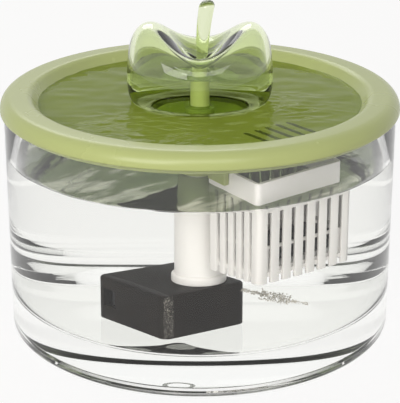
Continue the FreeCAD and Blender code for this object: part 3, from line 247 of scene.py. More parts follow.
def dressed(node, finish, edge):
    """A smooth-shaded copy of a CAD node, with its straight edges eased."""
    source = frame["nodes"][node]
    mesh = source.data.copy()
    piece = bpy.data.objects.new(node + "_finished", mesh)
    bpy.context.scene.collection.objects.link(piece)
    work = bmesh.new()
    work.from_mesh(mesh)
    bmesh.ops.remove_doubles(work, verts=work.verts, dist=1e-6)
    bmesh.ops.dissolve_limit(work, angle_limit=math.radians(0.6), verts=work.verts, edges=work.edges)
    work.to_mesh(mesh)
    work.free()
    mesh.materials.clear()
    mesh.materials.append(finish)
    bevel = piece.modifiers.new("eased_edges", "BEVEL")
    bevel.width = edge
    bevel.segments = 2
    bevel.limit_method = "ANGLE"
    bevel.angle_limit = math.radians(50)
    bevel.use_clamp_overlap = True
    settle(piece)
    shade(piece, 35)
    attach(piece, source["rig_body"])
    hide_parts(node)


# Node helpers

class Wire:
    """An output socket of a node; arithmetic on it adds Math nodes."""

    def __init__(self, graph, socket):
        self.graph = graph
        self.socket = socket

    def output(self, name):
        """Another output of the same node."""
        return Wire(self.graph, self.socket.node.outputs[name])

    def __add__(self, other):
        return self.graph.maths("ADD", self, other)

    def __radd__(self, other):
        return self.graph.maths("ADD", other, self)

    def __mul__(self, other):
        return self.graph.maths("MULTIPLY", self, other)

    def __rmul__(self, other):
        return self.graph.maths("MULTIPLY", other, self)


def set_stops(blend, stops):
    """Gives a ramp its positions and colours."""
    while len(blend.elements) < len(stops):
        blend.elements.new(0.5)
    for element, (position, colour) in zip(blend.elements, stops):
        element.position = position
        element.color = (*colour, 1.0)


class Graph:
    """Makes and links the nodes of one tree."""

    def __init__(self, tree):
        self.tree = tree

    def feed(self, socket, value):
        if isinstance(value, Wire):
            self.tree.links.new(value.socket, socket)
        else:
            socket.default_value = value

    def node(self, kind, values=None, output=0, **settings):
        """Adds a node, its settings first, and returns one of its outputs if it has any."""
        made = self.tree.nodes.new(kind)
        for key, value in settings.items():
            if key == "stops":
                set_stops(made.color_ramp, value)
            else:
                setattr(made, key, value)
        for key, value in (values or {}).items():
            self.feed(made.inputs[key], value)
        if made.outputs:
            return Wire(self, made.outputs[output])

    def maths(self, operation, first, second):
        return self.node("ShaderNodeMath", {0: first, 1: second}, operation=operation)

    def seen_or_mirrored(self):
        """1 for rays that come from the camera, a mirror or clear glass, else 0."""
        path = self.node("ShaderNodeLightPath", output="Is Camera Ray")
        seen = path
        for kind in ("Is Glossy Ray", "Is Transmission Ray"):
            seen = self.maths("MAXIMUM", seen, path.output(kind))
        return seen


class Finish(Graph):
    """A material made of nodes round one Principled shader."""

    def __init__(self, name, **values):
        self.material = bpy.data.materials.new(name)
        self.material.use_nodes = True
        super().__init__(self.material.node_tree)
        self.shader = self.tree.nodes["Principled BSDF"]
        self.surface = Wire(self, self.shader.outputs[0])
        for socket, value in values.items():
            self.shader.inputs[socket.replace("_", " ")].default_value = value

    def place(self):
        return self.node("ShaderNodeTexCoord", output="Object")

    def grain(self, scale, detail=3.0, roughness=0.5, stretch=(1, 1, 1)):
        mapping = self.node("ShaderNodeMapping", {"Vector": self.place(), "Scale": stretch})
        values = {"Vector": mapping, "Scale": scale, "Detail": detail, "Roughness": roughness}
        return self.node("ShaderNodeTexNoise", values, "Fac")

    def cells(self, scale):
        return self.node("ShaderNodeTexVoronoi", {"Vector": self.place(), "Scale": scale}, "Distance")

    def ramp(self, source, stops):
        return self.node("ShaderNodeValToRGB", {"Fac": source}, "Color", stops=stops)

    def mixed(self, factor, first, second):
        """Blends two colours; a Mix node keeps its colour sockets behind its other kinds."""
        return self.node("ShaderNodeMix", {0: factor, 6: first, 7: second}, 2, data_type="RGBA")

    def colour(self, value):
        self.feed(self.shader.inputs["Base Color"], value)

    def rough(self, value):
        self.feed(self.shader.inputs["Roughness"], value)

    def bump(self, height, strength, distance):
        values = {"Height": height, "Strength": strength, "Distance": distance}
        self.feed(self.shader.inputs["Normal"], self.node("ShaderNodeBump", values))

    def blend_surface(self, factor, other):
        """Mixes another shader over the Principled one."""
        mix = self.node("ShaderNodeMixShader", {0: factor, 1: self.surface, 2: other})
        self.feed(self.tree.nodes["Material Output"].inputs["Surface"], mix)

    def lets_lamps_through(self):
        """Clear pieces pass the lamps' light on to what is behind them."""
        shadow_ray = self.node("ShaderNodeLightPath", output="Is Shadow Ray")
        self.blend_surface(shadow_ray, self.node("ShaderNodeBsdfTransparent"))


def tone(colour, factor):
    return tuple(channel * factor for channel in colour)


# Finishes

def clear_finish(name, colour, index, wave_scale=None, wave=0.0):
    finish = Finish(name, Base_Color=(*colour, 1), Roughness=0.0, IOR=index, Transmission_Weight=1.0)
    if wave_scale:
        finish.bump(finish.grain(wave_scale, 2.0), wave, 0.001)
    finish.lets_lamps_through()
    return finish.material


def reservoir_water():
    """Clear water; its upper face has a painted reflection: dim green streaks of the tray, painted into
    its colour.
    """
    clear = (0.985, 0.99, 0.975, 1)
    # colours of the painted reflection of the tray's green underside
    dark, dim, pale = (0.010, 0.018, 0.004), (0.024, 0.036, 0.010), (0.34, 0.37, 0.23)
    finish = Finish("water", Roughness=0.0, IOR=WATER_INDEX, Transmission_Weight=1.0)
    streak = finish.grain(38.0, 3.0, 0.6, (0.5, 1.6, 1))
    painted_tray_reflection = finish.ramp(streak, [(0.38, dark), (0.56, dim), (0.70, pale)])
    height = finish.node("ShaderNodeSeparateXYZ", {0: finish.place()}, "Z")
    # only the band at the surface gets the painted reflection
    upper = finish.maths("GREATER_THAN", height, WATER_LEVEL - 1.5 * MM)
    finish.colour(finish.mixed(upper, clear, painted_tray_reflection))
    finish.lets_lamps_through()
    return finish.material


def plastic_finish(name, colour, roughness, speckle=0.03, grain_scale=900.0, relief=0.03, gloss=0.5):
    """Moulded plastic: a faint cloudiness, a fine surface grain and uneven gloss."""
    finish = Finish(name, Specular_IOR_Level=gloss)
    cloud = finish.grain(35.0, 4.0)
    finish.colour(finish.ramp(cloud, [(0.3, tone(colour, 1 - speckle)), (0.7, tone(colour, 1 + speckle))]))
    finish.rough(cloud * 0.04 + (roughness - 0.02))
    finish.bump(finish.grain(grain_scale, 2.0), relief, 0.0002)
    return finish.material


def black_plastic():
    """Dark grained plastic with a fine pale speckle in its colour."""
    dark, middling, pale = (0.004, 0.003, 0.002), (0.009, 0.006, 0.004), (0.040, 0.031, 0.024)
    finish = Finish("black_plastic", Specular_IOR_Level=0.12)
    cloud = finish.grain(60.0, 5.0)
    speck = finish.grain(1500.0, 1.0)
    finish.colour(finish.ramp(cloud * 0.3 + speck * 0.7, [(0.35, dark), (0.58, middling), (0.76, pale)]))
    finish.rough(cloud * 0.2 + 0.42)
    finish.bump(speck, 0.25, 0.0003)
    return finish.material


def carbon_finish():
    finish = Finish("carbon", Specular_IOR_Level=0.6)
    facet = finish.cells(420.0)
    finish.colour(finish.ramp(facet, [(0.0, (0.012, 0.013, 0.013)), (0.7, (0.06, 0.062, 0.06))]))
    finish.rough(facet * 0.5 + 0.3)
    finish.bump(finish.grain(1800.0), 0.5, 0.0003)
    return finish.material


def fabric_finish(name, colour, scale):
    finish = Finish(name, Roughness=0.9)
    fibre = finish.grain(scale, 6.0, 0.7)
    finish.colour(finish.ramp(fibre, [(0.3, tone(colour, 0.7)), (0.7, colour)]))
    finish.bump(fibre, 0.6, 0.0005)
    return finish.material


def rubber_finish(name, colour):
    return plastic_finish(name, colour, 0.6, 0.05, 500.0, 0.05)


def metal_finish(name, colour, roughness):
    finish = Finish(name, Metallic=1.0)
    brush = finish.grain(300.0, 3.0, 0.6, (1, 12, 1))
    finish.colour(finish.ramp(brush, [(0.3, tone(colour, 0.85)), (0.7, colour)]))
    finish.rough(brush * 0.2 + roughness)
    finish.bump(brush, 0.1, 0.0001)
    return finish.material


GLASS_COLOUR = (0.985, 0.985, 0.975)
APPLE_COLOUR = (0.80, 0.86, 0.60)

glass = clear_finish("clear_bowl_glass", GLASS_COLOUR, GLASS_INDEX, 12.0, 0.04)
wet_glass = clear_finish("bowl_glass_under_water", GLASS_COLOUR, GLASS_INDEX / WATER_INDEX)
apple_glass = clear_finish("clear_apple", APPLE_COLOUR, PLASTIC_INDEX)
wet_apple = clear_finish("clear_apple_under_water", APPLE_COLOUR, PLASTIC_INDEX / WATER_INDEX)
water_side = clear_finish("water_against_walls", (0.99, 0.995, 0.985), 1.0)
apple_water = clear_finish("apple_water", (0.90, 0.97, 0.82), WATER_INDEX)
water = reservoir_water()
# painted shade: the film's dark green tint darkens the dish floor under it, as shade would
dish_water_painted_shade = clear_finish("dish_water_painted_shade", (0.27, 0.315, 0.105), FILM_INDEX, 55.0, 0.10)
# painted shade: the film under the apple is tinted darker than the rest of the dish
film_painted_shade_in_apple = clear_finish("dish_water_in_apple_painted_shade", (0.20, 0.275, 0.085), 1.0)
green = plastic_finish("green_plastic", (0.40, 0.45, 0.175), 0.27, 0.015, 700.0, 0.02, 0.4)
# painted shade: a darker, more saturated copy of the green for the dish floor under the film; its lack of
# gloss comes from the water over it
shaded_wet_green = plastic_finish("green_plastic_under_water_painted_shade", (0.38, 0.43, 0.125), 0.4, 0.03, 300.0, 0.02, 0.0)
white = plastic_finish("white_plastic", (0.82, 0.80, 0.775), 0.38, 0.015, 800.0, 0.03)
black = black_plastic()
carbon = carbon_finish()
grey_rubber = rubber_finish("grey_silicone", (0.42, 0.43, 0.40))
black_rubber = rubber_finish("black_rubber", (0.02, 0.02, 0.02))
ivory = plastic_finish("ivory_plastic", (0.62, 0.61, 0.57), 0.35)
felt = fabric_finish("filter_felt", (0.72, 0.72, 0.69), 900.0)
sponge = fabric_finish("dark_sponge", (0.05, 0.05, 0.055), 500.0)
# painted light and shade: opaque grey stands in for the air bubbles' dark rims and bright glints
bubble_painted_sparkle = plastic_finish("bubble_painted_sparkle", (0.50, 0.475, 0.42), 0.08, 0.2, 1500.0, 0.02)
steel = metal_finish("steel", (0.60, 0.60, 0.60), 0.2)
magnet = metal_finish("magnet", (0.16, 0.16, 0.17), 0.35)
laminations = metal_finish("laminations", (0.30, 0.23, 0.17), 0.4)


# Bowl and its water

def make_bowl():
    recess = 78 * MM
    depth = 1.5 * MM
    lip_rounding = 1.9 * MM
    wet_top = WATER_LEVEL + WATER_CLIMB
    outline = round_corners([
        (0, depth, 0),
        (recess, depth, 1.2 * MM),
        (recess + depth, 0, 0.8 * MM),
        (BOWL_RADIUS, 0, 6 * MM),
        (BOWL_RADIUS, BOWL_RIM, lip_rounding),
        (BOWL_INNER, BOWL_RIM, lip_rounding),
        (BOWL_INNER, wet_top, 0),
        (BOWL_INNER, BOWL_FLOOR, FLOOR_ROUNDING),
        (0, BOWL_FLOOR, 0),
    ], 12)
    piece = turned("bowl_glass", outline, glass, ROUND_STEPS)
    slack = 0.1 * MM
    paint_where(piece, wet_glass, lambda middle, normal:
                BOWL_FLOOR - slack < middle.z < wet_top and middle.xy.length < BOWL_INNER + slack)
    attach(piece, "bowl")
    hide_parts("glass_bowl")


def water_body(name, radius, surface_at, under, rings, steps, finish):
    """A closed body of water: a rippled surface over a turned underside."""
    vertices = []
    rows = [ring_row(vertices, radius * (ring / rings), 0.0, steps) for ring in range(rings + 1)]
    for point in vertices:
        point.z = surface_at(point.x, point.y)
    rows += [ring_row(vertices, reach, height, steps) for reach, height in under]
    return closed_piece(name, vertices, skin(rows), finish, 50)


def reservoir_surface(across, along):
    """Nearly still water that climbs a little where it meets the glass."""
    climb_reach = 1.6 * MM
    from_glass = BOWL_INNER - math.hypot(across, along)
    climb = 1.3 * MM * math.exp(-from_glass / climb_reach)
    swell = 0.40 * MM * noise.noise(Vector((across, along, 0.0)) * 45)
    swell += 0.18 * MM * noise.noise(Vector((across, along, 0.3)) * 150)
    return WATER_LEVEL + min(climb, 1.6 * MM) + swell


def make_reservoir_water():
    """The mesh reaches a little into the glass, so that no air gap shows."""
    bite = 0.2 * MM
    corner_steps = 12
    radius = BOWL_INNER + bite
    floor = BOWL_FLOOR - bite
    under = []
    for step in range(corner_steps + 1):
        angle = math.pi / 2 * step / corner_steps
        reach = radius - FLOOR_ROUNDING + FLOOR_ROUNDING * math.cos(angle)
        height = floor + FLOOR_ROUNDING - FLOOR_ROUNDING * math.sin(angle)
        under.append((reach, height))
    under.append((0, floor))
    piece = water_body("bowl_water", radius, reservoir_surface, under, 90, ROUND_STEPS, water)
    paint_where(piece, water_side, lambda middle, normal: normal.z < 0.3)
    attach(piece, "bowl")


# Restless places of the film, seen from the front: across, along, size and height
FLURRIES = [
    (44 * MM, -14 * MM, 20 * MM, 1.5 * MM),
    (-38 * MM, -44 * MM, 18 * MM, 1.5 * MM),
    (-8 * MM, -56 * MM, 18 * MM, 1.5 * MM),
]


def dish_surface(across, along):
    """Lively shallow water: rings round the apple and restless streaks beside it."""
    ring_height, ring_length = 0.16 * MM, 1.7 * MM
    fade_start, fade_length = 30 * MM, 16 * MM
    place = FRONT_TURN @ Vector((across, along))
    reach = place.length
    fade = math.exp(-max(reach - fade_start, 0) / fade_length)
    height = ring_height * math.sin(reach / ring_length) * fade
    height += 0.30 * MM * noise.noise(Vector((place.x * 60, place.y * 120, 2.0)))
    height += 0.08 * MM * noise.noise(Vector((place.x * 90, place.y * 140, 5.0)))
    for middle_x, middle_y, size, lift in FLURRIES:
        away = math.hypot(place.x - middle_x, place.y - middle_y) / size
        if away < 2.5:
            crest = noise.noise(Vector((place.x * 80, place.y * 170, 8.0)))
            height += lift * math.exp(-away * away) * (1 - 2.6 * abs(crest)) * 0.5
    return FILM_LEVEL + height


def make_dish_water(apple_hollow):
    """The film; the water inside the apple, given by its half widths, passes into it."""
    radius = 82 * MM
    base = DISH_TOP - FILM_BITE
    under = [(radius, base), (0, base)]
    # the film's finish carries the painted shade of the dish
    piece = water_body("dish_water_film", radius, dish_surface, under, 170, 400, dish_water_painted_shade)
    unturn = APPLE_TURN.inverted()

    # the film's top inside the apple's hollow, which gets the painted shade
    def shaded_under_apple(middle, normal):
        place = unturn @ middle
        return normal.z > 0 and math.hypot(place.x / apple_hollow[0], place.y / apple_hollow[1]) < 1

    paint_where(piece, film_painted_shade_in_apple, shaded_under_apple)
    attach(piece, "tray")


# Tray

def make_tray():
    """The rolled ring and shallow dish, with the features under the dish."""
    lip_inner = RING_RADIUS - 1.6 * MM
    lip_bottom = BOWL_RIM - 2 * MM
    ring_inner = RING_RADIUS - 15 * MM
    ring_under = RING_TOP - 3.6 * MM
    skirt_outer = BOWL_INNER - 0.8 * MM
    skirt_inner = skirt_outer - 2 * MM
    skirt_bottom = BOWL_RIM - 5 * MM
    dish_under = DISH_TOP - 2.4 * MM
    dish_radius = ring_inner - 5.5 * MM
    outline = round_corners([
        (0, dish_under, 0),
        (dish_radius + 1.2 * MM, dish_under, 2 * MM),
        (ring_inner + 2.4 * MM, ring_under, 1.5 * MM),
        (skirt_inner, ring_under, 0.4 * MM),
        (skirt_inner, skirt_bottom, 0.3 * MM),
        (skirt_outer, skirt_bottom, 0.3 * MM),
        (skirt_outer, ring_under, 0.4 * MM),
        (lip_inner, ring_under, 0.8 * MM),
        (lip_inner, lip_bottom, 0.2 * MM),
        (RING_RADIUS, lip_bottom, 1.2 * MM),
        (RING_RADIUS, RING_TOP, 6.6 * MM),
        (ring_inner, RING_TOP, 4.8 * MM),
        (dish_radius, DISH_TOP, 4 * MM),
        (0, DISH_TOP, 0),
    ], 14)
    ring = turned("tray_ring", outline, green, ROUND_STEPS, 50)
    cut_drains(ring)
    extras = [make_duct_wall(dish_under)] + [make_clip(side, dish_under) for side in (-1, 1)]
    piece = merged("tray_shell", [ring] + extras)
    # the dish floor under the film gets the painted shade copy of the green
    paint_where(piece, shaded_wet_green, lambda middle, normal:
                normal.z > 0.3 and DISH_TOP - 0.5 * MM < middle.z < FILM_LEVEL)
    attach(piece, "tray")
    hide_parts("tray")


def stadium(start, length, radius, bearing, steps):
    """The outline of a slot with round ends, whose length runs from a start along a bearing."""
    points = []
    for end, first in ((0.0, math.pi / 2), (length, -math.pi / 2)):
        for step in range(steps + 1):
            angle = first + math.pi * step / steps
            points.append(Vector((end + radius * math.cos(angle), radius * math.sin(angle))))
    turn = Matrix.Rotation(bearing, 2)
    return [start + turn @ point for point in points]


def cut_drains(ring):
    """Slots in the dish above the basket, cut out of the turned shell."""
    count, pitch = 5, 6.6 * MM
    radius, straight, depth = 1.5 * MM, 17 * MM, 20 * MM
    middle = (basket_low + basket_high) / 2
    slots = []
    for index in range(count):
        start = middle.xy + Vector(((index - 1.5) * pitch, -straight / 2))
        loop = stadium(start, straight, radius, math.pi / 2, 8)
        outline = [(point.x, point.y, DISH_TOP - depth / 2) for point in loop]
        slots.append(extruded(f"drain_{index}", outline, (0, 0, depth), green))
    cutter = merged("drain_cutter", slots)
    cut = ring.modifiers.new("drains", "BOOLEAN")
    cut.operation = "DIFFERENCE"
    cut.solver = "EXACT"
    cut.object = cutter
    settle(ring)
    bpy.data.objects.remove(cutter)
    shade(ring, 40)


def make_duct_wall(dish_under):
    """The wall of the water duct between the riser and the spout."""
    outside, inside = 8.5 * MM, 6.5 * MM
    bottom = dish_under - 8.6 * MM
    top = dish_under + 1 * MM
    riser = ((riser_low + riser_high) / 2).xy
    bearing = math.atan2(riser.y, riser.x)
    vertices = []
    rows = []
    for radius, height in ((outside, bottom), (outside, top), (inside, top), (inside, bottom)):
        first = len(vertices)
        loop = stadium(Vector((0, 0)), riser.length, radius, bearing, 16)
        vertices += [(point.x, point.y, height) for point in loop]
        rows.append(list(range(first, len(vertices))))
    return closed_piece("duct_wall", vertices, skin(rows + rows[:1]), green, 35)


def make_clip(side, dish_under):
    """A clip that straddles the end wall of the basket."""
    gap, tab, wall, width = 0.3 * MM, 2.6 * MM, 1.8 * MM, 12 * MM
    end = basket_high.x if side > 0 else basket_low.x
    outside = end + side * gap
    inside = end - side * (wall + gap)
    low = basket_high.z - 6.2 * MM
    low_inside = basket_high.z - 3.5 * MM
    crest = basket_high.z + gap
    top = dish_under + 1 * MM
    middle = (basket_low.y + basket_high.y) / 2 + 7.8 * MM
    corners = [
        (outside + side * tab, low), (outside, low), (outside, crest), (inside, crest),
        (inside, low_inside), (inside - side * tab, low_inside), (inside - side * tab, top),
        (outside + side * tab, top),
    ]
    outline = [(across, middle - width / 2, height) for across, height in corners]
    name = "clip_left" if side < 0 else "clip_right"
    return extruded(name, outline, (0, width, 0), green)


# Apple

# Its half section from the foot to the dimple, as shares of half width and height
PROFILE = [
    (0.0, 0.05), (0.40, 0.03), (0.82, -0.04), (0.985, 0.12), (0.97, 0.44), (0.93, 0.72),
    (0.70, 0.87), (0.40, 0.76), (0.22, 0.56), (0.10, 0.54), (0.0, 0.54),
]
APPLE_HALF_WIDTH = 35.5 * MM
APPLE_HEIGHT = 42.7 * MM
APPLE_COLUMNS = 16
APPLE_WALL = 2.4 * MM
APPLE_MOUTH = 19 * MM
APPLE_WATER = 136.4 * MM
APPLE_WATER_ROWS = 30
APPLE_WATER_RINGS = 16
LOBE_REACH = 0.09
LOBE_RISE = 0.32
LOBE_START = 0.3


def inset_profile(profile, depth):
    """The section moved inwards by a depth, with its ends kept on the axis."""
    moved = []
    last = len(profile) - 1
    for index, (reach, height) in enumerate(profile):
        before = profile[max(index - 1, 0)]
        after = profile[min(index + 1, last)]
        run, rise = after[0] - before[0], after[1] - before[1]
        length = math.hypot(run, rise)
        inward = 0.0 if index in (0, last) else reach - depth * rise / length
        moved.append((inward, height + depth * run / length))
    return moved


def apple_net(profile):
    """Control points of the two-lobed surface, rows from the foot to the dimple."""
    net = np.zeros((len(profile), APPLE_COLUMNS, 3))
    for row, (reach, level) in enumerate(profile):
        upper = max(level / APPLE_HEIGHT - LOBE_START, 0.0) if reach else 0.0
        for column in range(APPLE_COLUMNS):
            angle = 2 * math.pi * column / APPLE_COLUMNS
            lobe = math.cos(2 * angle)
            radius = reach * (1 + LOBE_REACH * lobe)
            height = level + APPLE_HEIGHT * LOBE_RISE * lobe * upper
            net[row, column] = (radius * math.cos(angle), radius * math.sin(angle), height)
    return net


def clamped_weights(count, place):
    """Cubic B-spline weights of every row at one place along a clamped net."""
    spans = count - 3
    knots = [0] * 3 + list(range(spans + 1)) + [spans] * 3
    place = min(place, spans - 1e-9)
    weights = [float(low <= place < high) for low, high in zip(knots, knots[1:])]
    for degree in (1, 2, 3):
        raised = []
        for index in range(len(weights) - 1):
            value = 0.0
            start, end = knots[index], knots[index + degree + 1]
            before, after = knots[index + degree] - start, end - knots[index + 1]
            if before > 0:
                value += (place - start) / before * weights[index]
            if after > 0:
                value += (end - place) / after * weights[index + 1]
            raised.append(value)
        weights = raised
    return np.array(weights)


def round_weights(count, place):
    """Cubic B-spline weights of every column at one place round a closed net."""
    weights = np.zeros(count)
    first = int(math.floor(place))
    share = place - first
    parts = [
        (1 - share) ** 3 / 6,
        (3 * share ** 3 - 6 * share ** 2 + 4) / 6,
        (-3 * share ** 3 + 3 * share ** 2 + 3 * share + 1) / 6,
        share ** 3 / 6,
    ]
    for offset, weight in enumerate(parts):
        weights[(first - 1 + offset) % count] += weight
    return weights


def apple_sheet(profile, foot, steps_up, steps):
    """Rows of points of one side of the shell, from the mouth up to the dimple."""
    net = apple_net(profile)
    places = [APPLE_COLUMNS * step / steps for step in range(steps)]
    across = np.array([round_weights(APPLE_COLUMNS, place) for place in places])
    spans = len(profile) - 3
    rows = []
    for step in range(steps_up + 1):
        up = clamped_weights(len(profile), spans * step / steps_up)
        row = across @ np.tensordot(up, net, axes=1)
        if np.hypot(row[:, 0], row[:, 1]).max() < APPLE_MOUTH and row[:, 2].mean() < APPLE_HEIGHT / 3:
            continue
        row[:, 2] = np.maximum(row[:, 2], foot)
        rows.append(row)
    return rows


def make_apple():
    """The shell and its water; returns the half widths of the water where it starts."""
    steps_up, steps = 110, 144
    uncut = -1.0
    outer_profile = [(reach * APPLE_HALF_WIDTH, level * APPLE_HEIGHT) for reach, level in PROFILE]
    inner_profile = inset_profile(outer_profile, APPLE_WALL)
    lowest = min(row[:, 2].min() for row in apple_sheet(outer_profile, uncut, 120, 96))
    foot = lowest + 0.6 * MM
    outer = apple_sheet(outer_profile, foot, steps_up, steps)
    inner = apple_sheet(inner_profile, foot, steps_up, steps)
    rows = inner[::-1] + outer
    lift = Vector((0, 0, DISH_TOP - foot))
    vertices = [APPLE_TURN @ Vector(point) + lift for row in rows for point in row]
    piece = closed_piece("apple_glass", vertices, skin(even_rows(len(rows), steps)), apple_glass, 60)
    piece.data.materials.append(wet_apple)
    inner_faces = (len(inner) - 1) * steps
    for face in piece.data.polygons[:inner_faces]:
        if FILM_LEVEL < face.center.z < APPLE_WATER:
            face.material_index = 1
    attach(piece, "apple")
    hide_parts("apple_shell")
    wet = [row for row in inner if row[:, 2].mean() + lift.z > FILM_LEVEL]
    make_apple_water(wet, lift)
    return wet[0][:, 0].max(), wet[0][:, 1].max()


def apple_surface(across, along):
    """Gently heaving water inside the apple."""
    place = Vector((across, along, 0.0))
    return APPLE_WATER + 0.35 * MM * noise.noise(place * 90) + 0.5 * MM * noise.noise(place * 35)


def make_apple_water(inner, lift):
    """Water that the spout keeps the apple filled with, up to just under the dimple."""
    bite = 0.15 * MM
    steps = len(inner[0])
    sheet = np.array(inner)
    away = sheet - np.array([0.0, 0.0, APPLE_HEIGHT * 0.35])
    sheet = sheet + away / np.linalg.norm(away, axis=2)[:, :, None] * bite
    level = APPLE_WATER - lift.z
    rows = np.zeros((APPLE_WATER_ROWS + 1, steps, 3))
    for step in range(steps):
        heights = sheet[:, step, 2]
        above = int(np.argmax(heights >= level))
        part = (level - heights[above - 1]) / (heights[above] - heights[above - 1])
        reach = (above - 1 + part) * np.linspace(0, 1, APPLE_WATER_ROWS + 1)
        for axis in range(3):
            rows[:, step, axis] = np.interp(reach, np.arange(len(sheet)), sheet[:, step, axis])
    rows[0, :, 2] = FILM_LEVEL - FILM_BITE - lift.z
    vertices = [APPLE_TURN @ Vector(point) + lift for row in rows for point in row]
    rim = vertices[-steps:]
    centre = sum(rim, Vector()) / steps
    for ring in range(1, APPLE_WATER_RINGS):
        for point in rim:
            spot = point.lerp(centre, ring / APPLE_WATER_RINGS)
            vertices.append(Vector((spot.x, spot.y, apple_surface(spot.x, spot.y))))
    numbers = even_rows(APPLE_WATER_ROWS + APPLE_WATER_RINGS, steps) + [[len(vertices)]]
    vertices.append(Vector((centre.x, centre.y, apple_surface(centre.x, centre.y))))
    faces = [tuple(reversed(numbers[0]))] + skin(numbers)
    piece = closed_piece("apple_water", vertices, faces, apple_water, 60)
    paint_where(piece, water_side, lambda middle, normal: normal.z < 0.5)
    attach(piece, "apple")


def make_stem():
    """A clear stem that leans over a little and swells to a rounded tip."""
    steps_up, steps = 40, 40
    tip_start = 0.87
    vertices = []
    rows = []
    for step in range(steps_up + 1):
        share = step / steps_up
        into_tip = max(share - tip_start, 0.0) / (1 - tip_start)
        radius = (2.8 * MM + 1.3 * MM * share) * math.sqrt(1 - into_tip ** 2)
        lean = 1.0 * MM + 3.0 * MM * share ** 2
        height = stem_low.z + (stem_high.z - stem_low.z) * share
        rows.append(ring_row(vertices, radius, height, steps, (lean, 0.0)))
    vertices = [APPLE_TURN @ point for point in vertices]
    faces = [tuple(reversed(rows[0]))] + skin(rows)
    piece = closed_piece("apple_stem_glass", vertices, faces, apple_glass, 60)
    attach(piece, "apple")
    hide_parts("apple_stem")


# Riser and spout

def make_riser():
    """A pipe with a flange round its foot and a neck for the socket under the dish."""
    socket, flange, pipe, neck, bore = 6.5 * MM, 11.3 * MM, 10 * MM, 7.5 * MM, 5.4 * MM
    bottom, top = riser_low.z, riser_high.z
    flange_top = bottom + 4.5 * MM
    socket_top = bottom + 10.4 * MM
    shoulder = top - 9.6 * MM
    outline = round_corners([
        (socket, bottom, 0.2 * MM),
        (flange, bottom, 0.5 * MM),
        (flange, flange_top, 1.3 * MM),
        (pipe, flange_top, 0.2 * MM),
        (pipe, shoulder, 0.4 * MM),
        (neck, shoulder, 0.3 * MM),
        (neck, top, 0.4 * MM),
        (bore, top, 0.4 * MM),
        (bore, socket_top, 0.2 * MM),
        (socket, socket_top, 0.2 * MM),
    ], 5)
    middle = ((riser_low + riser_high) / 2).xy
    piece = turned("riser_tube", outline, white, 96, 40, middle)
    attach(piece, "tray")
    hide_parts("riser_pipe")


def make_spout():
    """The tube inside the apple, with a collar on the dish."""
    bore, tube, collar = 2.7 * MM, 4 * MM, 6 * MM
    bottom, top = spout_low.z, spout_high.z
    collar_top = DISH_TOP + 1.5 * MM
    outline = round_corners([
        (bore, bottom, 0.2 * MM),
        (tube, bottom, 0.2 * MM),
        (tube, DISH_TOP, 0),
        (collar, DISH_TOP, 0),
        (collar, collar_top, 0.4 * MM),
        (tube, collar_top, 0.3 * MM),
        (tube, top, 0.4 * MM),
        (bore, top, 0.4 * MM),
    ], 5)
    piece = turned("spout_post", outline, green, 64)
    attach(piece, "tray")
    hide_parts("spout_tube")


# Granules and bubbles

# Parts of the bubble streak: start and end along it, half its thickness, bubbles
STREAK = [
    (0, 13 * MM, 0.9 * MM, 120),
    (9 * MM, 23 * MM, 2.3 * MM, 330),
    (20 * MM, 32 * MM, 0.6 * MM, 70),
]
STREAK_START = Matrix.Translation((-23.5 * MM, -58.5 * MM, 46 * MM))
STREAK_TURN = Matrix.Rotation(math.radians(-30), 4, "Z") @ Matrix.Rotation(math.radians(19), 4, "Y")
GRANULE_INPUTS = {
    "Count": "Int", "Low Corner": "Vector", "High Corner": "Vector", "Smallest": "Float",
    "Largest": "Float", "Lumps": "Float", "Seed": "Int",
}


def granule_tree(material):
    """Loose granules: points in a box, a rough pebble on each, turned at random."""
    tree = bpy.data.node_groups.new("granule_bed", "GeometryNodeTree")
    sizes = {}
    for name, kind in GRANULE_INPUTS.items():
        socket = tree.interface.new_socket(name, in_out="INPUT", socket_type="NodeSocket" + kind)
        sizes[name] = socket.identifier
    tree.interface.new_socket("Geometry", in_out="OUTPUT", socket_type="NodeSocketGeometry")
    graph = Graph(tree)
    given = graph.node("NodeGroupInput")

    def at_random(low, high, seed_offset):
        seed = graph.maths("ADD", given.output("Seed"), seed_offset)
        values = {0: low, 1: high, "Seed": seed}
        return graph.node("FunctionNodeRandomValue", values, data_type="FLOAT_VECTOR")

    def all_axes(name):
        return graph.node("ShaderNodeCombineXYZ", {axis: given.output(name) for axis in range(3)})

    whole_turn = 6.28
    place = at_random(given.output("Low Corner"), given.output("High Corner"), 0)
    points = graph.node("GeometryNodePoints", {"Count": given.output("Count"), "Position": place})
    pebble = graph.node("GeometryNodeMeshIcoSphere", {"Radius": 1.0, "Subdivisions": 2}, "Mesh")
    spread = graph.node("GeometryNodeInstanceOnPoints", {
        "Points": points,
        "Instance": pebble,
        "Rotation": at_random((0, 0, 0), (whole_turn, whole_turn, whole_turn), 7),
        "Scale": at_random(all_axes("Smallest"), all_axes("Largest"), 13),
    })
    real = graph.node("GeometryNodeRealizeInstances", {0: spread})
    cloud = graph.node("ShaderNodeTexNoise", {"Scale": 900.0}, "Color")
    centred = graph.node("ShaderNodeVectorMath", {0: cloud, 1: (0.5, 0.5, 0.5)}, operation="SUBTRACT")
    values = {0: centred, "Scale": given.output("Lumps")}
    lumps = graph.node("ShaderNodeVectorMath", values, operation="SCALE")
    rough = graph.node("GeometryNodeSetPosition", {"Geometry": real, "Offset": lumps})
    painted = graph.node("GeometryNodeSetMaterial", {"Geometry": rough, "Material": material})
    graph.node("NodeGroupOutput", {"Geometry": painted})
    return tree, sizes


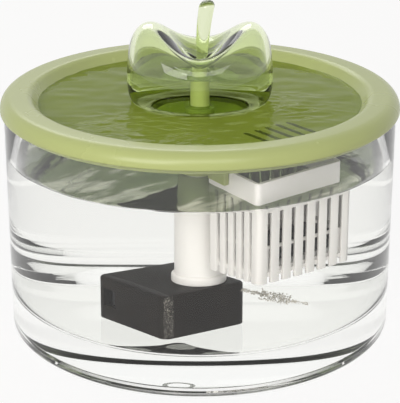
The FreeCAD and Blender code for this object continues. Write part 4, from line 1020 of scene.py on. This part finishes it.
def scattered(name, material, values):
    """A mesh of scattered granules, from values for the inputs of their node tree."""
    tree, sizes = granule_tree(material)
    piece = bpy.data.objects.new(name, bpy.data.meshes.new(name))
    bpy.context.scene.collection.objects.link(piece)
    modifier = piece.modifiers.new("granules", "NODES")
    modifier.node_group = tree
    for key, value in values.items():
        modifier[sizes[key]] = value
    settle(piece)
    return piece


def make_granules():
    margin = 1.0 * MM
    inset = Vector((margin, margin, margin))
    piece = scattered("carbon_granules", carbon, {
        "Count": 620, "Low Corner": tuple(bed_low + inset), "High Corner": tuple(bed_high - inset),
        "Smallest": 0.9 * MM, "Largest": 1.8 * MM, "Lumps": 1.2 * MM, "Seed": 11,
    })
    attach(piece, "cartridge")
    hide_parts("carbon_bed")


def make_bubbles():
    """A streak of small bubbles below the basket and a few on the pump's front edge."""
    swarms = []
    for seed, (start, end, half, count) in enumerate(STREAK, 5):
        swarms.append(scattered("bubble_swarm", bubble_painted_sparkle, {
            "Count": count, "Low Corner": (start, -half, -half), "High Corner": (end, half, half),
            "Smallest": 0.12 * MM, "Largest": 0.42 * MM, "Lumps": 0.0, "Seed": seed,
        }))
    streak = merged("bubble_streak", swarms)
    streak.data.transform(STREAK_START @ STREAK_TURN)
    edge = scattered("bubble_edge", bubble_painted_sparkle, {
        "Count": 500, "Low Corner": tuple(pump_low + Vector((-0.4, -0.4, 1)) * MM),
        "High Corner": (pump_low.x + 5 * MM, pump_low.y + 0.2 * MM, pump_high.z),
        "Smallest": 0.05 * MM, "Largest": 0.13 * MM, "Lumps": 0.0, "Seed": 9,
    })
    for piece in (streak, edge):
        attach(piece, "bowl")


# CAD pieces that keep their shapes

def dress_nodes():
    """Smooth copies for the moulded pieces that show through the glass."""
    for node, finish, edge in (
        ("filter_basket", white, 0.25 * MM),
        ("cartridge_frame", white, 0.1 * MM),
        ("pump_casing", black, 0.3 * MM),
        ("intake_cover", black, 0.3 * MM),
        ("base_plate", black, 0.1 * MM),
        ("duct_cover", green, 0.15 * MM),
        ("flow_slider", black, 0.1 * MM),
    ):
        dressed(node, finish, edge)


def paint_nodes():
    """Finishes for the CAD pieces that keep their own meshes."""
    for node, finish in (
        ("rim_gasket", grey_rubber), ("filter_pad", felt), ("intake_sponge", sponge),
        ("suction_cups", grey_rubber), ("motor_housing", black), ("nozzle_seal", grey_rubber),
        ("chamber_cover", black), ("motor_end_cap", black), ("front_bush", ivory),
        ("rear_bush", ivory), ("rotor_shaft", steel), ("impeller", ivory),
        ("rotor_magnet", magnet), ("stator", laminations), ("cover_screws", steel),
        ("cable_gland", black_rubber),
    ):
        mesh = frame["nodes"][node].data
        mesh.materials.clear()
        mesh.materials.append(finish)


# Stage, lamps and camera

WARM_WHITE = (1.0, 0.975, 0.94)
CAMERA_PLACE = (-0.4482, -0.5737, 0.3432)
CAMERA_AIM = Vector((0.5736, 0.7341, -0.3636))
LENS = 135.2
SHIFT_Y = 0.0212


def make_stage():
    """A pale floor: nearly white where it is seen directly, with the object's soft shadow."""
    half, under = 3.0, -0.0002
    glow_share = 0.88
    finish = Finish("pale_floor", Base_Color=(0.80, 0.765, 0.72, 1), Roughness=0.7)
    glow = finish.node("ShaderNodeEmission", {"Color": (1, 1, 1, 1), "Strength": 1.0})
    finish.blend_surface(finish.seen_or_mirrored() * glow_share, glow)
    corners = [(-half, -half, under), (half, -half, under), (half, half, under), (-half, half, under)]
    floor = new_piece("floor", corners, [(0, 1, 2, 3)], finish.material)


def make_world():
    """A warm room that gives light, and plain white where it is seen or mirrored."""
    world = bpy.data.worlds.new("studio")
    bpy.context.scene.world = world
    world.use_nodes = True
    graph = Graph(world.node_tree)
    room = world.node_tree.nodes["Background"]
    room.inputs["Color"].default_value = (*WARM_WHITE, 1)
    room.inputs["Strength"].default_value = 0.42
    blank = graph.node("ShaderNodeBackground", {"Color": (1, 1, 1, 1)})
    values = {0: graph.seen_or_mirrored(), 1: Wire(graph, room.outputs[0]), 2: blank}
    mix = graph.node("ShaderNodeMixShader", values)
    graph.feed(world.node_tree.nodes["World Output"].inputs["Surface"], mix)


def add_lamp(name, place, size, power, colour=(1, 1, 1)):
    """A rectangular lamp that looks at the middle of the object."""
    target = Vector((0, 0, 0.08))
    lamp = bpy.data.lights.new(name, "AREA")
    lamp.shape = "RECTANGLE"
    lamp.size, lamp.size_y = size
    lamp.energy = power
    lamp.color = colour
    holder = bpy.data.objects.new(name, lamp)
    bpy.context.scene.collection.objects.link(holder)
    holder.location = place
    holder.rotation_euler = (target - Vector(place)).to_track_quat("-Z", "Y").to_euler()
    holder.visible_transmission = False


def make_lamps():
    add_lamp("key_softbox", (-0.88, -0.38, 0.48), (0.55, 0.45), 4.3, WARM_WHITE)
    add_lamp("front_fill", (-0.48, -0.68, 0.72), (0.7, 0.45), 3.2, (1.0, 0.98, 0.96))
    add_lamp("back_softbox", (0.35, 0.75, 0.75), (0.6, 0.4), 2.0)


def make_camera():
    camera = bpy.data.cameras.new("view")
    camera.lens = LENS
    camera.sensor_width = 36.0
    camera.sensor_fit = "AUTO"
    camera.shift_y = SHIFT_Y
    holder = bpy.data.objects.new("view", camera)
    bpy.context.scene.collection.objects.link(holder)
    holder.location = CAMERA_PLACE
    holder.rotation_euler = CAMERA_AIM.to_track_quat("-Z", "Y").to_euler()
    bpy.context.scene.camera = holder


make_camera()
make_stage()
make_world()
make_lamps()
make_bowl()
make_reservoir_water()
make_tray()
make_dish_water(make_apple())
make_stem()
make_riser()
make_spout()
make_granules()
make_bubbles()
dress_nodes()
paint_nodes()
bpy.context.scene.view_settings.view_transform = "Standard"
